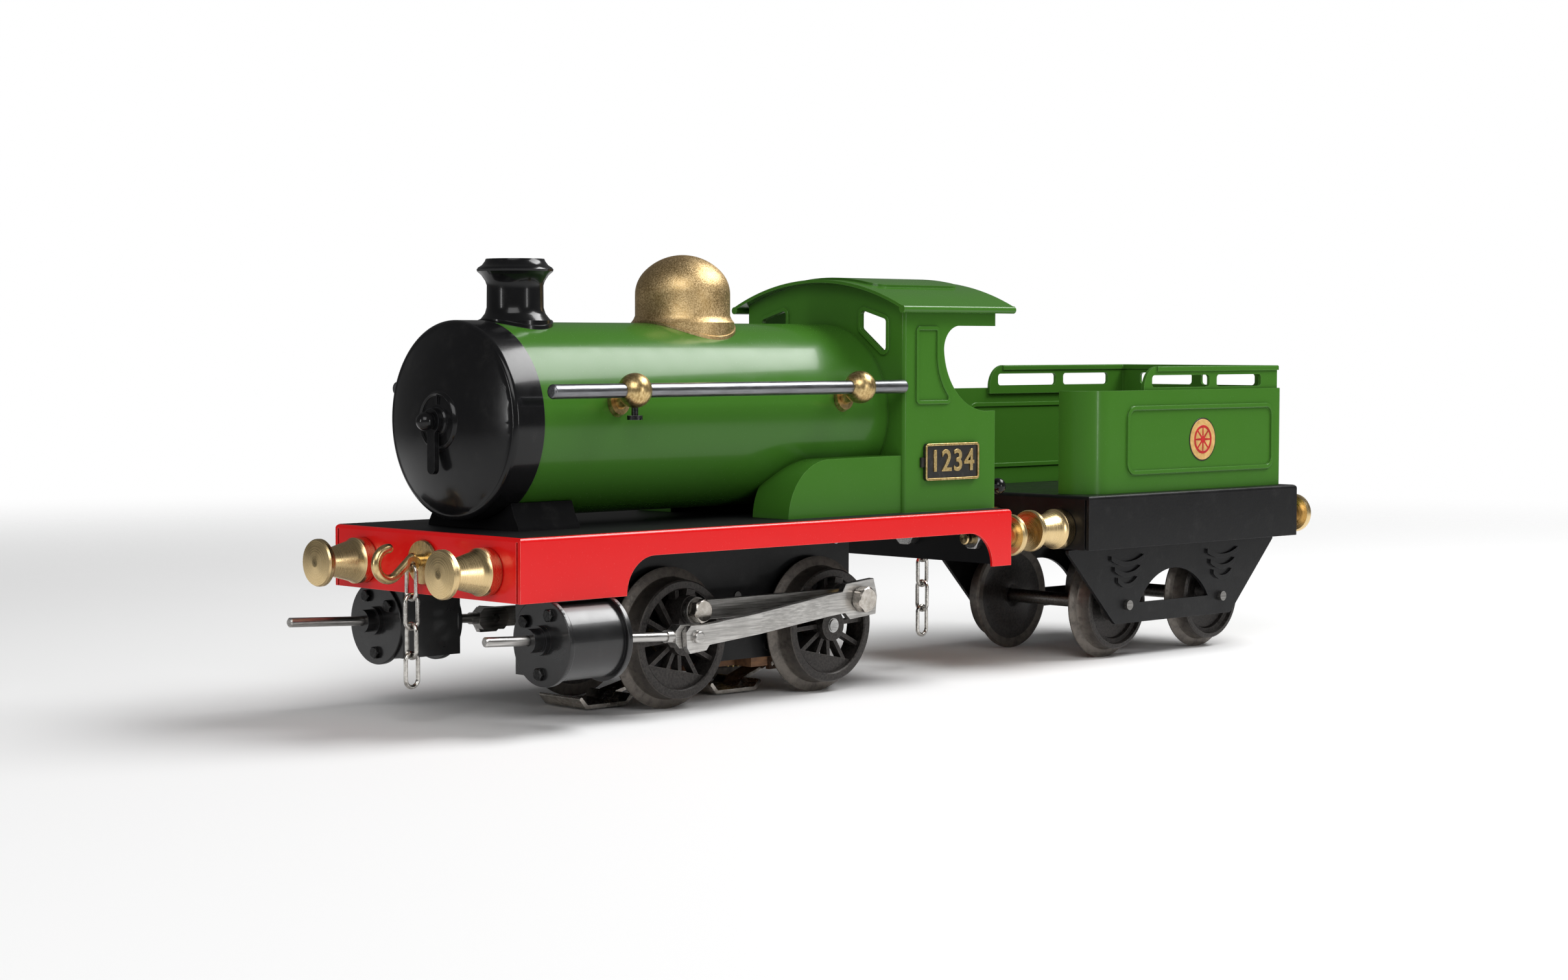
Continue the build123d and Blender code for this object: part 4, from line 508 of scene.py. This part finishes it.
SMOOTH = smooth_group()

# width of the bevel on each node, mm
BEVELS = {
    "footplate": 0.08, "tender_frame": 0.12, "cab_roof": 0.10, "cab_body": 0.08, "splashers": 0.12,
    "tender_tank": 0.08, "coal_rails": 0.08, "cylinders": 0.12, "axle_guards": 0.10,
    "connecting_rod_left": 0.14, "connecting_rod_right": 0.14,
    "coupling_rod_left": 0.12, "coupling_rod_right": 0.12,
    "front_wheels": 0.08, "rear_wheels": 0.08, "smokebox_saddle": 0.15, "side_frames": 0.08,
}


def crisp(obj, bevel):
    """Joined, smooth-shaded surface with a fine highlight along its edges."""
    weld = obj.modifiers.new("weld", "WELD")
    weld.merge_threshold = WELD_GAP
    if bevel:
        flat = obj.modifiers.new("flat", "DECIMATE")
        flat.decimate_type = "DISSOLVE"
        flat.angle_limit = math.radians(0.6)
        flat.delimit = {"SHARP"}
        edge = obj.modifiers.new("edge", "BEVEL")
        edge.width = bevel * MM
        edge.segments = 2
        edge.limit_method = "ANGLE"
        edge.angle_limit = math.radians(38)
    smooth = obj.modifiers.new("smooth", "NODES")
    smooth.node_group = SMOOTH
    if bevel:
        even = obj.modifiers.new("even", "WEIGHTED_NORMAL")
        even.keep_sharp = True


for name, obj in NODES.items():
    crisp(obj, BEVELS.get(name, 0.0))


# ---- pieces of their own ------------------------------------------------------------


def add_mesh(name, form, material, body):
    """Make an object from a bmesh, in metres in the row frame, riding on a body."""
    mesh = bpy.data.meshes.new(name)
    form.to_mesh(mesh)
    form.free()
    obj = bpy.data.objects.new(name, mesh)
    bpy.context.scene.collection.objects.link(obj)
    mesh.materials.append(material)
    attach(obj, body)


def hand_word(side):
    """Word for the side that a piece is on."""
    return "left" if side > 0 else "right"


def side_frame(side, x, y, z):
    """Frame on a side wall: first axis along the wall, second up, third outward."""
    axes = (Vector((0, side, 0)), Vector((0, 0, 1)), Vector((side, 0, 0)))
    return Matrix.Translation(at(side * x, y, z)) @ Matrix(axes).transposed().to_4x4()


def gilt():
    """Worn gilding of the number plate's digits."""
    paint = Paint("gilt")
    worn = paint.ramp(paint.noise(2.0, 4, 0.6), 0.3, 0.7)
    tone = paint.mix(worn, (0.50, 0.34, 0.12), (0.86, 0.66, 0.32))
    paint.raise_by(paint.noise(3.0, 2, 0.5), 0.01)
    return paint.done(tone, metal=1.0, rough=paint.ramp(worn, 0.0, 1.0, 0.45, 0.3))


GILT = gilt()


def plate_digits(side):
    """Raised digits on one cab plate."""
    words = bpy.data.curves.new("digits", "FONT")
    words.body = "1234"
    words.size = 6.9 * MM
    words.space_character = 1.12
    words.align_x = "CENTER"
    words.align_y = "CENTER"
    words.extrude = 0.12 * MM
    words.bevel_depth = 0.05 * MM
    words.bevel_resolution = 1
    words.offset = 0.06 * MM
    holder = bpy.data.objects.new("digits_form", words)
    bpy.context.scene.collection.objects.link(holder)
    bpy.context.view_layer.update()
    solid = bpy.data.meshes.new_from_object(holder)
    form = bmesh.new()
    form.from_mesh(solid)
    bpy.data.objects.remove(holder)
    place = side_frame(side, CAB_W + PLATE_FACE, PLATE_Y, PLATE_Z)
    bmesh.ops.transform(form, matrix=place, verts=form.verts)
    add_mesh(f"plate_digits_{hand_word(side)}", form, GILT, "locomotive")


def turned_rows(form, rows, place, steps=48):
    """Walls turned round the third axis through (radius, height) rows; returns the last loop."""
    loops = []
    for radius, height in rows:
        loop = []
        for i in range(steps):
            a = 2 * math.pi * i / steps
            point = Vector((radius * math.cos(a) * MM, radius * math.sin(a) * MM, height * MM))
            loop.append(form.verts.new(place @ point))
        loops.append(loop)
    for low, high in zip(loops, loops[1:]):
        for i in range(steps):
            j = (i + 1) % steps
            form.faces.new((low[i], low[j], high[j], high[i]))
    return loops[-1]


def ring_form(form, inner, outer, rise, place):
    """Raised flat ring, its inner and outer walls sloping a little."""
    slope = 0.08
    turned_rows(form, ((outer, 0.0), (outer - slope, rise), (inner + slope, rise), (inner, 0.0)), place)


def disc_form(form, radius, rise, place):
    """Low disc with a chamfered edge."""
    top = turned_rows(form, ((radius, 0.0), (radius, rise * 0.6), (radius - rise * 0.4, rise)), place)
    form.faces.new(top)


def spoke_form(form, r0, r1, half, rise, degrees, place):
    """One tapering spoke."""
    a = math.radians(degrees)
    along = Vector((math.cos(a), math.sin(a), 0))
    side = Vector((-math.sin(a), math.cos(a), 0))
    corners = [along * r0 + side * half, along * r1 + side * half * 0.7,
               along * r1 - side * half * 0.7, along * r0 - side * half]
    low = [form.verts.new(place @ (c * MM)) for c in corners]
    high = [form.verts.new(place @ ((c + Vector((0, 0, rise))) * MM)) for c in corners]
    form.faces.new(high)
    for i in range(4):
        j = (i + 1) % 4
        form.faces.new((low[j], low[i], high[i], high[j]))


def roundel(side):
    """Gilt badge on one tank side: a red spoked wheel inside a black line."""
    place = side_frame(side, TANK_W, ROUNDEL_Y, ROUNDEL_Z)
    word = hand_word(side)
    form = bmesh.new()
    disc_form(form, 5.4, 0.10, place)
    add_mesh(f"roundel_rim_{word}", form, BADGE_BLACK, "tender")
    form = bmesh.new()
    disc_form(form, 5.1, 0.16, place)
    add_mesh(f"roundel_disc_{word}", form, BADGE_GILT, "tender")
    form = bmesh.new()
    raised = place @ Matrix.Translation((0, 0, 0.15 * MM))
    ring_form(form, 2.9, 3.6, 0.08, raised)
    disc_form(form, 0.9, 0.1, raised)
    for i in range(8):
        spoke_form(form, 0.8, 3.0, 0.26, 0.06, 45 * i, raised)
    add_mesh(f"roundel_wheel_{word}", form, BADGE_RED, "tender")


def printed(name, light, dark, rough):
    """Transfer print: fine grain and slightly uneven ink."""
    paint = Paint(name)
    grain = paint.noise(4.0, 3, 0.6)
    tone = paint.mix(paint.ramp(paint.noise(0.5, 4, 0.6), 0.3, 0.7), dark, light)
    tone = paint.mix(paint.math("MULTIPLY", paint.ramp(grain, 0.5, 0.75), 0.3), tone, dark)
    paint.raise_by(grain, 0.004)
    return paint.done(tone, rough=paint.ramp(grain, 0.3, 0.7, rough, rough + 0.12), specular=0.35)


BADGE_GILT = printed("badge_gilt", (0.72, 0.46, 0.17), (0.52, 0.29, 0.09), 0.32)
BADGE_BLACK = printed("badge_black", (0.02, 0.014, 0.01), (0.012, 0.009, 0.008), 0.35)
BADGE_RED = printed("badge_red", (0.55, 0.02, 0.02), (0.36, 0.012, 0.012), 0.34)

for hand in (1, -1):
    plate_digits(hand)
    roundel(hand)

# ---- stage: floor, light and camera -------------------------------------------------

FLOOR_R = 1.6


def floor():
    """Pale round floor that fades out before its rim."""
    form = bmesh.new()
    bmesh.ops.create_circle(form, cap_ends=True, radius=FLOOR_R, segments=96)
    mesh = bpy.data.meshes.new("floor")
    form.to_mesh(mesh)
    form.free()
    obj = bpy.data.objects.new("floor", mesh)
    bpy.context.scene.collection.objects.link(obj)
    mat = bpy.data.materials.new("pale_floor")
    mat.use_nodes = True
    tree = mat.node_tree
    shader = tree.nodes["Principled BSDF"]
    shader.inputs["Base Color"].default_value = (0.94, 0.94, 0.94, 1)
    shader.inputs["Roughness"].default_value = 0.85
    shader.inputs["Specular IOR Level"].default_value = 0.1
    coords = tree.nodes.new("ShaderNodeTexCoord")
    length = tree.nodes.new("ShaderNodeVectorMath")
    length.operation = "LENGTH"
    fade = tree.nodes.new("ShaderNodeMapRange")
    fade.interpolation_type = "SMOOTHSTEP"
    fade.inputs["From Min"].default_value = 0.25
    fade.inputs["From Max"].default_value = 0.85
    fade.inputs["To Min"].default_value = 1.0
    fade.inputs["To Max"].default_value = 0.0
    tree.links.new(coords.outputs["Object"], length.inputs[0])
    tree.links.new(length.outputs["Value"], fade.inputs["Value"])
    tree.links.new(fade.outputs["Result"], shader.inputs["Alpha"])
    mesh.materials.append(mat)


floor()


LIGHT_TARGET = Vector((0, -0.03, 0.06))


def softbox(name, azimuth, elevation, distance, width, height, power):
    """Rectangular soft light round the model, placed by angles in degrees and aimed at it."""
    data = bpy.data.lights.new(name, "AREA")
    data.shape = "RECTANGLE"
    data.size = width
    data.size_y = height
    data.energy = power
    data.spread = math.radians(160)
    a = math.radians(azimuth)
    e = math.radians(elevation)
    offset = Vector((math.cos(a) * math.cos(e), math.sin(a) * math.cos(e), math.sin(e))) * distance
    obj = bpy.data.objects.new(name, data)
    obj.location = LIGHT_TARGET + offset
    obj.rotation_euler = (-offset).to_track_quat("-Z", "Y").to_euler()
    bpy.context.scene.collection.objects.link(obj)


softbox("key", -50, 36, 1.25, 0.8, 0.7, 5.4)
softbox("overhead", 62, 48, 1.0, 0.75, 0.38, 8.5)
softbox("strip_left", -97, 7, 1.0, 0.06, 0.35, 0.8)
softbox("strip_right", 5, 7, 1.0, 0.06, 0.35, 0.8)

# the camera sees plain white; the light from the surroundings is dimmer
world = bpy.data.worlds.new("studio")
bpy.context.scene.world = world
world.use_nodes = True
sky = world.node_tree
surround = sky.nodes["Background"]
surround.inputs["Color"].default_value = (1, 1, 1, 1)
surround.inputs["Strength"].default_value = 0.12
backdrop = sky.nodes.new("ShaderNodeBackground")
backdrop.inputs["Color"].default_value = (1, 1, 1, 1)
backdrop.inputs["Strength"].default_value = 1.0
path = sky.nodes.new("ShaderNodeLightPath")
choose = sky.nodes.new("ShaderNodeMixShader")
sky.links.new(path.outputs["Is Camera Ray"], choose.inputs[0])
sky.links.new(surround.outputs[0], choose.inputs[1])
sky.links.new(backdrop.outputs[0], choose.inputs[2])
sky.links.new(choose.outputs[0], sky.nodes["World Output"].inputs["Surface"])

YAW = math.radians(47.67)
PITCH = math.radians(-2.974)
forward = Vector((-math.sin(YAW) * math.cos(PITCH), math.cos(YAW) * math.cos(PITCH), math.sin(PITCH)))
right = Vector((math.cos(YAW), math.sin(YAW), 0))
up = right.cross(forward)
camera = bpy.data.objects.new("camera", bpy.data.cameras.new("camera"))
facing = Matrix((right, up, -forward)).transposed().to_4x4()
camera.matrix_world = Matrix.Translation(at(453.04, -351.05, 77.47)) @ facing
camera.data.sensor_fit = "HORIZONTAL"
camera.data.sensor_width = 36
camera.data.lens = 64.74
camera.data.shift_x = 0.0864
camera.data.clip_start = 0.01
bpy.context.scene.collection.objects.link(camera)
bpy.context.scene.camera = camera

view = bpy.context.scene.view_settings
view.view_transform = "Standard"
view.look = "None"
